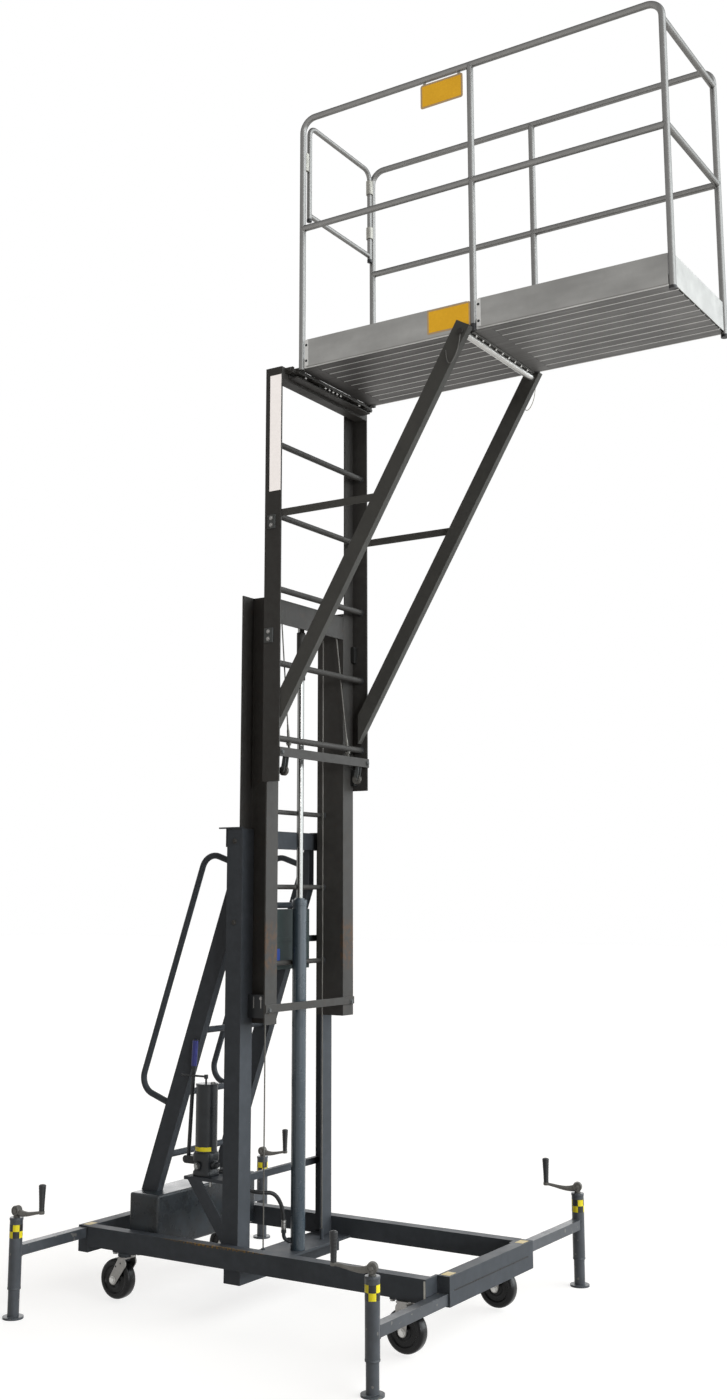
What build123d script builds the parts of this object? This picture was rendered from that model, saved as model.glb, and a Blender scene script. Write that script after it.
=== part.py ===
from build123d import *
import math
import os

# Push-around personnel lift: a wheeled base with four screw jacks, a three-stage mast raised by a hand pump,
# and a cantilever platform with guard rails and a gate.
# Sizes are in millimetres. X runs from the rear of the lift to the end of its platform, Y across, Z up.
# While the pieces are made, X is counted from the front face of the middle mast and Y from the mast's middle.
# The finished pieces are then moved so that the origin lies on the floor under the middle of the lift.

# How far a cutting tool passes a face, and the share of a run that a cord's bend may take
cut_margin = 1.0
bend_share = 0.45

# Base frame
rail_width = 50.8
rail_height = 76.2
rail_wall = 3.2
rail_spacing = 650.0
rail_front = 731.0
rail_rear = -831.0
rail_underside = 193.4
end_plate_thickness = 10.0
end_plate_inset = 40.0
front_tie_size = 44.0
front_tie_drop = 12.4
tube_wall = 3.0

# Outrigger arms and the stacked sleeves that they slide in
arm_size = 38.1
arm_wall = 3.0
arm_clearance = 0.3
arm_length = 660.0
sleeve_wall = 6.05
sleeve_end_inset = 4.8
sleeve_shortfall = 30.0
rear_near_reach = 750.0
rear_far_reach = 860.0
front_near_reach = 768.0
front_far_reach = 855.0

# Screw jacks on the arms
jack_diameter = 50.0
jack_wall = 2.5
jack_bottom = 105.0
jack_height = 256.0
jack_cap_thickness = 4.0
leg_clearance = 0.3
leg_wall = 4.0
leg_lift = 90.0
leg_top_gap = 6.0
leg_nut_depth = 20.0
foot_diameter = 80.0
foot_thickness = 8.0
screw_diameter = 18.0
screw_clearance = 0.05
screw_foot_gap = 12.0
crank_hub_diameter = 30.0
crank_hub_length = 26.0
crank_hub_lift = 25.0
crank_reach = 130.0
crank_rise = 12.0
crank_bar_width = 12.0
crank_bar_depth = 16.0
crank_collar_wall = 3.0
rear_crank_heading = 0.0
front_near_crank_heading = 200.0
front_far_crank_heading = 198.0
grip_length = 98.0
grip_foot_diameter = 22.0
grip_top_diameter = 30.0

# Casters: rigid at the front, swivelling at the rear
wheel_diameter = 152.4
wheel_width = 50.0
wheel_hub_diameter = 64.0
wheel_hub_recess = 6.0
tyre_round = 12.0
axle_height = 86.0
axle_diameter = 12.0
axle_clearance = 0.05
axle_end = 9.0
front_axle_x = 648.0
swivel_x = -640.0
caster_trail = 43.0
caster_plate_length = 110.0
caster_plate_thickness = 6.0
raceway_diameter = 72.0
raceway_height = 12.0
fork_crown_height = 8.0
fork_leg_thickness = 6.0
fork_side_gap = 3.0
fork_eye_radius = 20.0
kingpin_diameter = 16.0
bearing_gap = 0.3
bolt_head_width = 17.0
bolt_head_height = 6.5

# Mast foot
foot_beam_width = 76.0
foot_beam_height = 60.0
foot_beam_overlap = 20.0
foot_plate_thickness = 9.6
foot_plate_front = -20.0

# Middle mast: two channels with their webs inwards
stage_clearance = 0.5
middle_thickness = 6.0
middle_depth = 133.0
middle_flange_width = 72.9
middle_bottom = 1090.0
middle_length = 1711.0
middle_rung_diameter = 20.0
middle_rung_x = -101.0
middle_rung_top = 1925.0
middle_rung_count = 3
middle_bar_height = 30.0
middle_bar_thickness = 6.0
middle_bar_lift = 46.0
head_height = 101.0
head_drop = 14.0
head_thickness = 8.0
head_front = -1.0
head_rear = -92.0
rope_notch_width = 26.0
pad_height = 74.0
pad_reach = 30.0
pad_depth = 40.0
pad_lift = 33.0

# Outer mast: two angles standing on the foot
outer_thickness = 6.0
outer_depth = 76.0
outer_top = 1850.0
lip_gap = 8.0
lip_tip_gap = 1.5
running_gap = 0.3
cap_overhang = 38.0
cap_thickness = 6.0
cap_width = 12.0
top_bar_height = 72.0
top_bar_depth = 40.0
top_bar_behind = 11.0
low_bar_z = 477.0
low_bar_height = 26.0
low_bar_depth = 20.0
outer_pad_height = 140.0
outer_pad_width = 43.0
outer_pad_drop = 10.0
rear_pad_depth = 26.0
rear_pad_width = 19.0

# Rear braces with their steps, and the handles on them
brace_depth = 76.0
brace_width = 38.0
brace_middle = 235.0
brace_foot_x = -655.0
brace_head_x = -185.0
brace_front_limit = -160.0
brace_wall = 3.0
step_diameter = 25.4
step_count = 5
step_first_z = 545.0
step_pitch = 250.0
handle_diameter = 25.4
handle_wall = 2.0
handle_offset = 161.0
handle_bend = 65.0
handle_low_distance = 364.0
handle_high_distance = 1376.0

# Counterweight box and document box
box_rear = -656.0
box_length = 149.0
box_bottom = 203.0
box_top = 411.0
document_width = 314.0
document_depth = 55.0
document_bottom = 1288.0
document_top = 1530.0
document_wall = 2.0
document_bar_z = 1392.0
document_bar_height = 26.0
document_bar_depth = 18.0

# Hydraulic cylinder
cylinder_x = -58.0
barrel_diameter = 58.0
barrel_wall = 6.0
barrel_top = 1568.0
barrel_floor = 22.0
gland_diameter = 62.0
gland_height = 24.0
rod_diameter = 28.0
rod_clearance = 0.08
piston_bottom = 1110.0
piston_height = 40.0

# Hand pump
pump_x = -310.0
pump_y = -275.0
pump_bracket_z = 488.0
pump_bracket_thickness = 12.0
pump_bracket_rear = -380.0
pump_bracket_inner = -225.0
pump_block_length = 86.0
pump_block_width = 78.0
pump_block_height = 90.0
reservoir_diameter = 86.0
reservoir_height = 260.0
reservoir_wall = 4.0
brace_bar_drop = 200.0
brace_bar_width = 40.0
lever_x = -404.0
lever_y = -268.0
lever_pivot_z = 555.0
lever_length = 460.0
lever_lean = 26.0
lever_diameter = 16.0
lever_grip_diameter = 22.0
lever_grip_length = 100.0
lever_eye_diameter = 30.0
lever_lug_thickness = 10.0
lever_pin_diameter = 12.0
release_x = -300.0
release_y = -295.0
release_diameter = 8.0
release_post_height = 36.0
release_length = 125.0
release_clearance = 0.05

# Hose from the pump to the cylinder, a list of points along its route
hose_diameter = 16.0
hose_points = [
    (-296.0, -222.0, 520.0),
    (-280.0, -192.0, 512.0),
    (-250.0, -164.0, 490.0),
    (-208.0, -142.0, 465.0),
    (-155.0, -112.0, 446.0),
    (-115.0, -76.0, 410.0),
    (-95.0, -45.0, 356.0),
    (-95.0, -45.0, 305.0),
]
nipple_length = 30.0
elbow_z = 240.0
elbow_diameter = 20.0

# Lift ropes and the sheaves at the head of the middle mast
rope_diameter = 8.0
rope_y = 204.0
sheave_pitch_diameter = 63.0
sheave_x = -48.5
sheave_drop = 66.0
sheave_width = 16.0
sheave_flange = 4.0
sheave_mouth_gap = 0.8
sheave_pin_diameter = 16.0
sheave_pin_head = 26.0
sheave_side_gap = 0.3
anchor_diameter = 16.0
anchor_height = 40.0

# Ladder, the third stage: two angles with rungs
ladder_thickness = 6.0
ladder_depth = 80.0
ladder_lip_width = 64.0
ladder_side_gap = 8.5
ladder_bottom = 2031.0
ladder_top = 3750.0
rung_pitch = 304.8
rung_count = 5
rung_diameter = 25.4
rung_top_z = 3425.0
rung_setback = 47.2
ladder_bar_z = 2130.0
ladder_bar_height = 37.0
ladder_bar_thickness = 6.0
head_beam_height = 55.0
head_beam_depth = 50.8
rope_eye_y = 220.0
rope_eye_diameter = 44.0
rope_eye_width = 20.0
rope_stud_diameter = 14.0
rope_stud_length = 40.0
roller_y = 272.0
roller_z = 2077.0
roller_diameter = 40.0
roller_width = 14.0
yoke_thickness = 4.0
yoke_setback = 18.0
yoke_width = 22.0
yoke_foot = 14.0
side_pad_height = 70.0
side_pad_width = 26.0
side_pad_depth = 16.0
side_pad_lifts = (20.0, 560.0)

# Struts and stays that carry the platform
strut_depth = 63.5
strut_width = 31.75
strut_wall = 3.0
strut_root_x = 40.0
strut_line_x = 55.0
strut_line_z = 2320.0
strut_tip_x = 914.0
strut_tip_z = 3760.0
stay_z = 3110.0
stay_height = 30.0
stay_thickness = 6.0
stay_start_x = 50.0
pipe_diameter = 26.7
pipe_wall = 2.9
cross_pipe_x = 905.0
pin_diameter = 12.7
pin_clearance = 0.06
pin_depth = 30.0
pin_head_diameter = 22.0
pin_head_length = 9.0

# Platform
deck_underside = 3739.0
deck_depth = 42.0
deck_skin = 4.0
deck_rib = 5.0
deck_rib_count = 11
deck_half_width = 284.0
deck_start = 118.0
deck_split = 900.0
deck_gap = 4.0
deck_end = 1740.0
board_thickness = 4.0
board_lift = 4.0
board_top = 3860.0
board_post_gap = 12.0
post_y = 280.0
post_clearance = 0.5
post_bottom = 3734.0
gate_post_x = 132.0
mid_post_x = 937.0
mid_post_foot = 24.0
top_rail_z = 4855.0
mid_rail_drop = 495.0
end_rail_drop = 72.0
rail_bend = 60.0
post_cap_height = 12.0
post_cap_diameter = 29.0
hinge_x = 95.0
hinge_z = 3735.0
hinge_pin_diameter = 16.0
hinge_pin_overhang = 38.0
hinge_clearance = 0.05
knuckle_height = 24.0
knuckle_width = 46.0
knuckle_ys = (238.0, 128.0)
lug_width = 12.0
lug_ys = (300.0, 104.0)

# Gate at the ladder end of the platform
gate_pipe_diameter = 21.3
gate_pipe_wall = 2.4
gate_near_y = -232.0
gate_far_y = 255.0
gate_top_drop = 5.0
gate_low_drop = 415.0
gate_bottom_drop = 444.0
gate_bend = 45.0
gate_clearance = 0.08
gate_ring_diameter = 31.0
gate_ring_drops = ((333.0, 279.0), (117.0, 52.0))
latch_drops = (220.0, 140.0)
latch_thickness = 12.0
latch_gap = 0.35

# Lanyards of the two platform pins, each a list of points from the pin down and back up to the strut
# Each point is counted from the pin's head: along X, away from the strut and along Z
lanyard_diameter = 3.0
lanyard_route = [
    (0.0, 0.0, 0.0),
    (-2.0, 3.0, -30.0),
    (-14.0, 6.0, -75.0),
    (-40.0, 5.0, -108.0),
    (-62.0, 2.0, -92.0),
]
lanyard_end = (-66.0, 1.8, -52.0)

# Sizes worked out from the ones above
rail_in = rail_spacing / 2
rail_out = rail_in + rail_width
rail_middle = rail_in + rail_width / 2
rail_top = rail_underside + rail_height
sleeve_size = arm_size + 2 * arm_clearance + 2 * sleeve_wall
sleeve_out = rail_out - sleeve_end_inset
sleeve_in = rail_in - sleeve_shortfall
rear_sleeve_x = rail_rear - sleeve_size / 2
front_sleeve_x = rail_front + end_plate_thickness + sleeve_size / 2
upper_arm_z = rail_top - sleeve_size / 2
lower_arm_z = upper_arm_z - sleeve_size
jack_radius = jack_diameter / 2
jack_top = jack_bottom + jack_height
leg_radius = jack_radius - jack_wall - leg_clearance
leg_top = jack_top - leg_lift - leg_top_gap
screw_radius = screw_diameter / 2
foot_floor = rail_underside + foot_plate_thickness
outer_web_out = rail_in
outer_web_in = outer_web_out - outer_thickness
middle_tip = outer_web_in - stage_clearance
middle_web_out = middle_tip - middle_flange_width
middle_web_in = middle_web_out - middle_thickness
middle_rear = -middle_depth
middle_top = middle_bottom + middle_length
outer_lip_rear = middle_rear + middle_thickness + lip_gap
outer_front = outer_lip_rear + outer_thickness
outer_rear = outer_front - outer_depth
outer_lip_tip = middle_web_out + lip_tip_gap
head_top = middle_top - head_drop
head_bottom = head_top - head_height
sheave_z = middle_top - sheave_drop
sheave_radius = sheave_pitch_diameter / 2
rope_radius = rope_diameter / 2
ladder_web_in = middle_tip + ladder_side_gap
ladder_web_out = ladder_web_in + ladder_thickness
ladder_lip_front = -middle_thickness - stage_clearance
ladder_rear = ladder_lip_front - ladder_thickness
ladder_front = ladder_rear + ladder_depth
rung_x = ladder_rear + rung_setback
rung_low_z = rung_top_z - (rung_count - 1) * rung_pitch
strut_out = ladder_web_in
strut_in = strut_out - strut_width
strut_angle = math.atan2(strut_tip_z - strut_line_z, strut_tip_x - strut_line_x)
pipe_radius = pipe_diameter / 2
pipe_bore = pipe_radius - pipe_wall
cross_pipe_z = deck_underside - running_gap - pipe_radius
gate_radius = gate_pipe_diameter / 2
mid_rail_z = top_rail_z - mid_rail_drop
end_rail_z = top_rail_z - end_rail_drop
gate_top_z = top_rail_z - gate_top_drop
gate_low_z = top_rail_z - gate_low_drop
gate_bottom_z = top_rail_z - gate_bottom_drop
end_post_x = deck_end
brace_angle = math.atan2(outer_top - top_bar_height - box_top, brace_head_x - brace_foot_x)
brace_run = brace_depth / math.sin(brace_angle)

nodes = {}


def keep(name, *pieces):
    """Add pieces to a node; a list counts as its members."""
    for piece in pieces:
        if isinstance(piece, (list, tuple)):
            keep(name, *piece)
        else:
            nodes.setdefault(name, []).extend(piece.solids())


def block(xs, ys, zs):
    """Box between two values along each axis, given in either order."""
    spans = [sorted(pair) for pair in (xs, ys, zs)]
    size = [high - low for low, high in spans]
    middle = [(high + low) / 2 for low, high in spans]
    return Pos(*middle) * Box(*size)


def bar(start, end, radius, bore=0.0):
    """Round bar between two points, or a pipe where it has a bore."""
    run = Vector(*end) - Vector(*start)
    section = Circle(radius)
    if bore > 0:
        section = section - Circle(bore)
    return extrude(Plane(origin=start, z_dir=run) * section, amount=run.length)


def upright(x, y, zs, radius, bore=0.0):
    """Round bar or pipe that stands between two heights."""
    return bar((x, y, zs[0]), (x, y, zs[1]), radius, bore)


def crosswise(x, ys, z, radius, bore=0.0):
    """Round bar or pipe that lies along Y."""
    return bar((x, ys[0], z), (x, ys[1], z), radius, bore)


def plate(points, y_low, y_high):
    """Plate of an outline in the XZ plane, between two Y values."""
    outline = Polyline(*[(x, y_low, z) for x, z in points], close=True)
    return extrude(make_face(outline), amount=y_high - y_low, dir=(0, 1, 0))


def square_tube(xs, ys, zs, wall, along):
    """Rectangular tube between two corners, open along one axis."""
    spans = {"x": sorted(xs), "y": sorted(ys), "z": sorted(zs)}
    inner = {axis: (low, high) if axis == along else (low + wall, high - wall)
             for axis, (low, high) in spans.items()}
    return block(*spans.values()) - block(*inner.values())


def bent_pipe(points, bend, radius, wall):
    """Pipe along straight runs and round bends, as one solid for each run or bend."""
    path = FilletPolyline(*points, radius=bend)
    section = Circle(radius) - Circle(radius - wall)
    return [sweep(Plane(origin=edge @ 0, z_dir=edge % 0) * section, path=edge) for edge in path.edges()]


def hex_bolt(position, direction):
    """Head of a hexagon bolt that stands on a face."""
    section = RegularPolygon(bolt_head_width / 2, 6, major_radius=False)
    return extrude(Plane(origin=position, z_dir=direction) * section, amount=bolt_head_height)


def cord(name, points, diameter):
    """Tube along a cord's route, each corner rounded as far as its two runs allow."""
    route = [Vector(*point) for point in points]
    runs = [after - before for before, after in zip(route, route[1:])]
    radii = []
    for before, after in zip(runs, runs[1:]):
        half_turn = math.radians(before.get_angle(after)) / 2
        radii.append(bend_share * min(before.length, after.length) / math.tan(half_turn))
    path = FilletPolyline(*points, radius=radii)
    tube = sweep(Plane(origin=path @ 0, z_dir=path % 0) * Circle(diameter / 2), path=path)
    share = tube.volume / (math.pi * diameter ** 2 / 4 * path.length)
    print(name, "length", round(path.length, 1), "volume share", round(share, 4),
          "radii", [round(radius, 1) for radius in radii])
    return tube


def base_frame():
    """Rails, their end plates, the front tie and the stacked sleeves."""
    for side in (-1, 1):
        ys = (side * rail_in, side * rail_out)
        zs = (rail_underside, rail_top)
        keep("base_rails", square_tube((rail_rear, rail_front), ys, zs, rail_wall, "x"))
        plate_ys = (side * (rail_in - end_plate_inset), side * rail_out)
        plate_xs = (rail_front, rail_front + end_plate_thickness)
        keep("base_rails", block(plate_xs, plate_ys, zs))
    tie_xs = (rail_front - front_tie_size, rail_front)
    tie_bottom = rail_underside - front_tie_drop
    tie_zs = (tie_bottom, tie_bottom + front_tie_size)
    keep("base_rails", square_tube(tie_xs, (-rail_in, rail_in), tie_zs, tube_wall, "y"))
    for middle_x, long_side in ((rear_sleeve_x, -1), (front_sleeve_x, 1)):
        xs = (middle_x - sleeve_size / 2, middle_x + sleeve_size / 2)
        ys = (long_side * sleeve_out, -long_side * sleeve_in)
        for middle_z in (upper_arm_z, lower_arm_z):
            zs = (middle_z - sleeve_size / 2, middle_z + sleeve_size / 2)
            keep("arm_sleeves", square_tube(xs, ys, zs, sleeve_wall, "y"))


def outrigger(name, middle_x, side, reach, arm_z, heading):
    """Sliding arm with its jack tube, the leg in the tube and the crank on top."""
    jack_y = side * reach
    half = arm_size / 2
    arm_end = side * (reach - jack_radius - arm_length)
    arm_xs = (middle_x - half, middle_x + half)
    arm = square_tube(arm_xs, (jack_y, arm_end), (arm_z - half, arm_z + half), arm_wall, "y")
    jack_zs = (jack_bottom, jack_top)
    jack = upright(middle_x, jack_y, jack_zs, jack_radius, jack_radius - jack_wall)
    envelope = upright(middle_x, jack_y, jack_zs, jack_radius)
    cap_top = jack_top + jack_cap_thickness
    screw_hole = screw_radius + screw_clearance
    cap = upright(middle_x, jack_y, (jack_top, cap_top), jack_radius, screw_hole)
    keep(name + "_arm", arm - envelope, jack, cap)

    nut_bottom = leg_top - leg_nut_depth
    leg = upright(middle_x, jack_y, (foot_thickness, nut_bottom), leg_radius, leg_radius - leg_wall)
    nut = upright(middle_x, jack_y, (nut_bottom, leg_top), leg_radius, screw_hole)
    foot = upright(middle_x, jack_y, (0, foot_thickness), foot_diameter / 2)
    keep(name + "_leg", leg, nut, foot)

    hub_z = cap_top + crank_hub_lift
    screw_tip = foot_thickness + leg_lift + screw_foot_gap
    screw = upright(0, 0, (screw_tip, hub_z), screw_radius)
    hub = crosswise(0, (-crank_hub_length / 2, crank_hub_length / 2), hub_z, crank_hub_diameter / 2)
    collar = upright(0, 0, (cap_top + running_gap, hub_z), screw_radius + crank_collar_wall)
    grip_z = hub_z + crank_rise
    half_depth = crank_bar_depth / 2
    flat_end = crank_reach + grip_foot_diameter / 2
    flat_start = crank_reach - grip_foot_diameter / 2
    outline = [(0, hub_z - half_depth), (flat_end, grip_z - crank_bar_depth), (flat_end, grip_z),
               (flat_start, grip_z), (0, hub_z + half_depth)]
    arm_bar = plate(outline, -crank_bar_width / 2, crank_bar_width / 2)
    grip = Pos(crank_reach, 0, grip_z + grip_length / 2) * Cone(
        grip_foot_diameter / 2, grip_top_diameter / 2, grip_length)
    place = Pos(middle_x, jack_y, 0) * Rot(0, 0, heading)
    keep(name + "_crank", place * (screw + collar + hub), place * (arm_bar - hub), place * grip)


def wheel(name, x, y):
    """Caster wheel turned about its axle: tyre with rounded shoulders and a hub recess on each side."""
    radius = wheel_diameter / 2
    half = wheel_width / 2
    tyre = Rot(90, 0, 0) * Cylinder(radius, wheel_width)
    tyre = fillet(tyre.edges().filter_by(GeomType.CIRCLE), tyre_round)
    for side in (-1, 1):
        recess_ys = (side * (half - wheel_hub_recess), side * (half + cut_margin))
        tyre = tyre - crosswise(0, recess_ys, 0, wheel_hub_diameter / 2)
    bore_ys = (-half - cut_margin, half + cut_margin)
    tyre = tyre - crosswise(0, bore_ys, 0, axle_diameter / 2 + axle_clearance)
    keep(name, Pos(x, y, axle_height) * tyre)


def fork(name, crown_x, axle_x, y, crown_top, crown_hole):
    """Two fork legs under a crown plate, with the wheel's axle through them."""
    crown_bottom = crown_top - fork_crown_height
    leg_inner = wheel_width / 2 + fork_side_gap
    leg_outer = leg_inner + fork_leg_thickness
    crown_half = raceway_diameter / 2
    crown = block((crown_x - crown_half, crown_x + crown_half), (y - leg_outer, y + leg_outer),
                  (crown_bottom, crown_top))
    if crown_hole > 0:
        crown = crown - upright(crown_x, y, (crown_bottom - cut_margin, crown_top + cut_margin), crown_hole)
    keep(name, crown)
    reach = leg_outer + axle_end
    axle = crosswise(axle_x, (y - reach, y + reach), axle_height, axle_diameter / 2)
    for side in (-1, 1):
        ys = sorted((y + side * leg_inner, y + side * leg_outer))
        outline = [(crown_x - crown_half, crown_bottom), (axle_x - fork_eye_radius, axle_height),
                   (axle_x - fork_eye_radius / 2, axle_height - fork_eye_radius),
                   (axle_x + fork_eye_radius / 2, axle_height - fork_eye_radius),
                   (axle_x + fork_eye_radius, axle_height), (crown_x + crown_half, crown_bottom)]
        keep(name, plate(outline, *ys) - axle)
    keep(name, axle)


def casters():
    """Mounting plates under the rails, rigid forks in front, swivel forks behind, and the wheels."""
    plate_bottom = rail_underside - caster_plate_thickness
    half_length = caster_plate_length / 2
    half_width = rail_width / 2
    race_bottom = plate_bottom - raceway_height
    for side, label in ((-1, "near"), (1, "far")):
        y = side * rail_middle
        for middle_x in (front_axle_x, swivel_x):
            xs = (middle_x - half_length, middle_x + half_length)
            keep("caster_mounts", block(xs, (y - half_width, y + half_width), (plate_bottom, rail_underside)))
            for end in (-1, 1):
                for edge in (-1, 1):
                    spot = (middle_x + end * (half_length - bolt_head_width / 2),
                            y + edge * (half_width - bolt_head_width / 2), plate_bottom)
                    keep("frame_bolts", hex_bolt(spot, (0, 0, -1)))
        keep("caster_mounts", upright(swivel_x, y, (race_bottom, plate_bottom), raceway_diameter / 2))
        crown_top = race_bottom - bearing_gap
        kingpin_bottom = crown_top - fork_crown_height
        keep("caster_mounts", upright(swivel_x, y, (kingpin_bottom, race_bottom), kingpin_diameter / 2))
        hole = kingpin_diameter / 2 + axle_clearance
        fork(f"rear_{label}_fork", swivel_x, swivel_x - caster_trail, y, crown_top, hole)
        fork("caster_mounts", front_axle_x, front_axle_x, y, plate_bottom, 0)
        wheel(f"rear_{label}_wheel", swivel_x - caster_trail, y)
        wheel(f"front_{label}_wheel", front_axle_x, y)


def mast_foot():
    """Beam under the rails and the plate that the mast, the cylinder and the ropes stand on."""
    beam_middle = (outer_rear + foot_plate_front) / 2 - foot_beam_overlap
    beam_xs = (beam_middle - foot_beam_width / 2, beam_middle + foot_beam_width / 2)
    beam_end = rail_in + foot_beam_overlap
    beam_zs = (rail_underside - foot_beam_height, rail_underside)
    keep("mast_foot", square_tube(beam_xs, (-beam_end, beam_end), beam_zs, tube_wall, "y"))
    plate_xs = (outer_rear, foot_plate_front)
    keep("mast_foot", block(plate_xs, (-rail_in, rail_in), (rail_underside, foot_floor)))
    rope_x = sheave_x - sheave_radius
    for side in (-1, 1):
        y = side * rope_y
        anchor_top = foot_floor + anchor_height
        keep("mast_foot", upright(rope_x, y, (foot_floor, anchor_top), anchor_diameter / 2))
        keep("lower_lift_ropes", upright(rope_x, y, (anchor_top, sheave_z), rope_radius))


def outer_mast():
    """Two upright angles, the bars across their rear and the pads that guide the middle mast."""
    bar_front = outer_rear - top_bar_behind + top_bar_depth
    for side in (-1, 1):
        web_ys = (side * outer_web_in, side * outer_web_out)
        lip_ys = (side * outer_lip_tip, side * outer_web_in)
        keep("outer_mast", block((outer_rear, outer_front), web_ys, (foot_floor, outer_top)))
        keep("outer_mast", block((outer_lip_rear, outer_front), lip_ys, (foot_floor, outer_top)))
        cap_ys = (side * outer_web_in, side * (outer_web_in + cap_width))
        cap_xs = (outer_rear - cap_overhang, outer_front)
        keep("outer_mast", block(cap_xs, cap_ys, (outer_top, outer_top + cap_thickness)))
        pad_zs = (outer_top - outer_pad_drop - outer_pad_height, outer_top - outer_pad_drop)
        pad_xs = (middle_rear + middle_thickness + running_gap, outer_lip_rear)
        pad_ys = (side * (middle_tip - outer_pad_width), side * (middle_tip - lip_gap))
        keep("outer_mast_pads", block(pad_xs, pad_ys, pad_zs))
        rear_xs = (middle_rear - running_gap - rear_pad_depth, middle_rear - running_gap)
        rear_ys = (side * (outer_web_in - rear_pad_width), side * outer_web_in)
        keep("outer_mast_pads", block(rear_xs, rear_ys, pad_zs))
    ys = (-outer_web_in, outer_web_in)
    top_xs = (bar_front - top_bar_depth, bar_front)
    keep("outer_mast", square_tube(top_xs, ys, (outer_top - top_bar_height, outer_top), tube_wall, "y"))
    low_xs = (outer_rear, outer_rear + low_bar_depth)
    keep("outer_mast", block(low_xs, ys, (low_bar_z, low_bar_z + low_bar_height)))
    document_xs = (outer_rear, outer_rear + document_bar_depth)
    keep("outer_mast", block(document_xs, ys, (document_bar_z, document_bar_z + document_bar_height)))


def brace_point(along, behind):
    """Point in the XZ plane, measured up a brace's rear edge and square to it towards the rear."""
    x = brace_foot_x + along * math.cos(brace_angle) - behind * math.sin(brace_angle)
    z = box_top + along * math.sin(brace_angle) + behind * math.cos(brace_angle)
    return x, z


def braces():
    """Two sloping braces behind the mast, the steps between them and a bent handle on each."""
    head_z = outer_top - top_bar_height
    slope = math.tan(brace_angle)
    front_z = box_top + (brace_front_limit - brace_foot_x - brace_run) * slope
    outline = [(brace_foot_x, box_top), (brace_foot_x + brace_run, box_top), (brace_front_limit, front_z),
               (brace_front_limit, head_z), (brace_head_x, head_z)]
    inner = brace_middle - brace_width / 2
    wall_run = brace_wall / math.sin(brace_angle)
    high_z = 2 * head_z
    high_x = brace_foot_x + (high_z - box_top) / slope
    low_x = brace_foot_x - box_top / slope
    hollow_run = brace_run - wall_run
    hollow = [(low_x + wall_run, 0), (low_x + hollow_run, 0), (high_x + hollow_run, high_z),
              (high_x + wall_run, high_z)]
    for side in (-1, 1):
        low_y, high_y = sorted((side * inner, side * (inner + brace_width)))
        tube = plate(outline, low_y, high_y) - plate(hollow, low_y + brace_wall, high_y - brace_wall)
        keep("rear_braces", tube)
        low_root = brace_point(handle_low_distance, 0)
        low_bend = brace_point(handle_low_distance, handle_offset)
        high_bend = brace_point(handle_high_distance, handle_offset)
        high_root = brace_point(handle_high_distance, 0)
        route = [(x, side * brace_middle, z) for x, z in (low_root, low_bend, high_bend, high_root)]
        keep("push_handles", bent_pipe(route, handle_bend, handle_diameter / 2, handle_wall))
    for index in range(step_count):
        z = step_first_z + index * step_pitch
        x = brace_foot_x + (z - box_top) / slope + brace_run / 2
        keep("rear_braces", crosswise(x, (-inner, inner), z, step_diameter / 2))


def boxes():
    """Counterweight box between the rails and the document box inside the mast."""
    box_xs = (box_rear, box_rear + box_length)
    keep("counterweight_box", block(box_xs, (-rail_in, rail_in), (box_bottom, box_top)))
    document_rear = outer_rear + document_bar_depth
    cover_rear = document_rear + document_depth - document_wall
    ys = (-document_width / 2, document_width / 2)
    pocket_ys = (ys[0] + document_wall, ys[1] - document_wall)
    zs = (document_bottom, document_top)
    pocket_zs = (document_bottom + document_wall, document_top - document_wall)
    shell = block((document_rear, cover_rear), ys, zs)
    keep("document_box", shell - block((document_rear + document_wall, cover_rear), pocket_ys, pocket_zs))
    keep("document_box", block((cover_rear, cover_rear + document_wall), ys, zs))


def cylinder():
    """Cylinder barrel with its gland, and the piston rod that pushes the middle mast's head up."""
    bore = barrel_diameter / 2 - barrel_wall
    rod_hole = rod_diameter / 2 + rod_clearance
    gland_bottom = barrel_top - gland_height
    barrel = upright(cylinder_x, 0, (foot_floor, gland_bottom), barrel_diameter / 2)
    barrel = barrel - upright(cylinder_x, 0, (foot_floor + barrel_floor, barrel_top), bore)
    gland = upright(cylinder_x, 0, (gland_bottom, barrel_top), gland_diameter / 2, rod_hole)
    keep("cylinder_barrel", barrel, gland)
    piston_top = piston_bottom + piston_height
    piston = upright(cylinder_x, 0, (piston_bottom, piston_top), bore - rod_clearance)
    rod = upright(cylinder_x, 0, (piston_top, head_top - head_thickness), rod_diameter / 2)
    keep("piston_rod", piston + rod)


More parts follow.
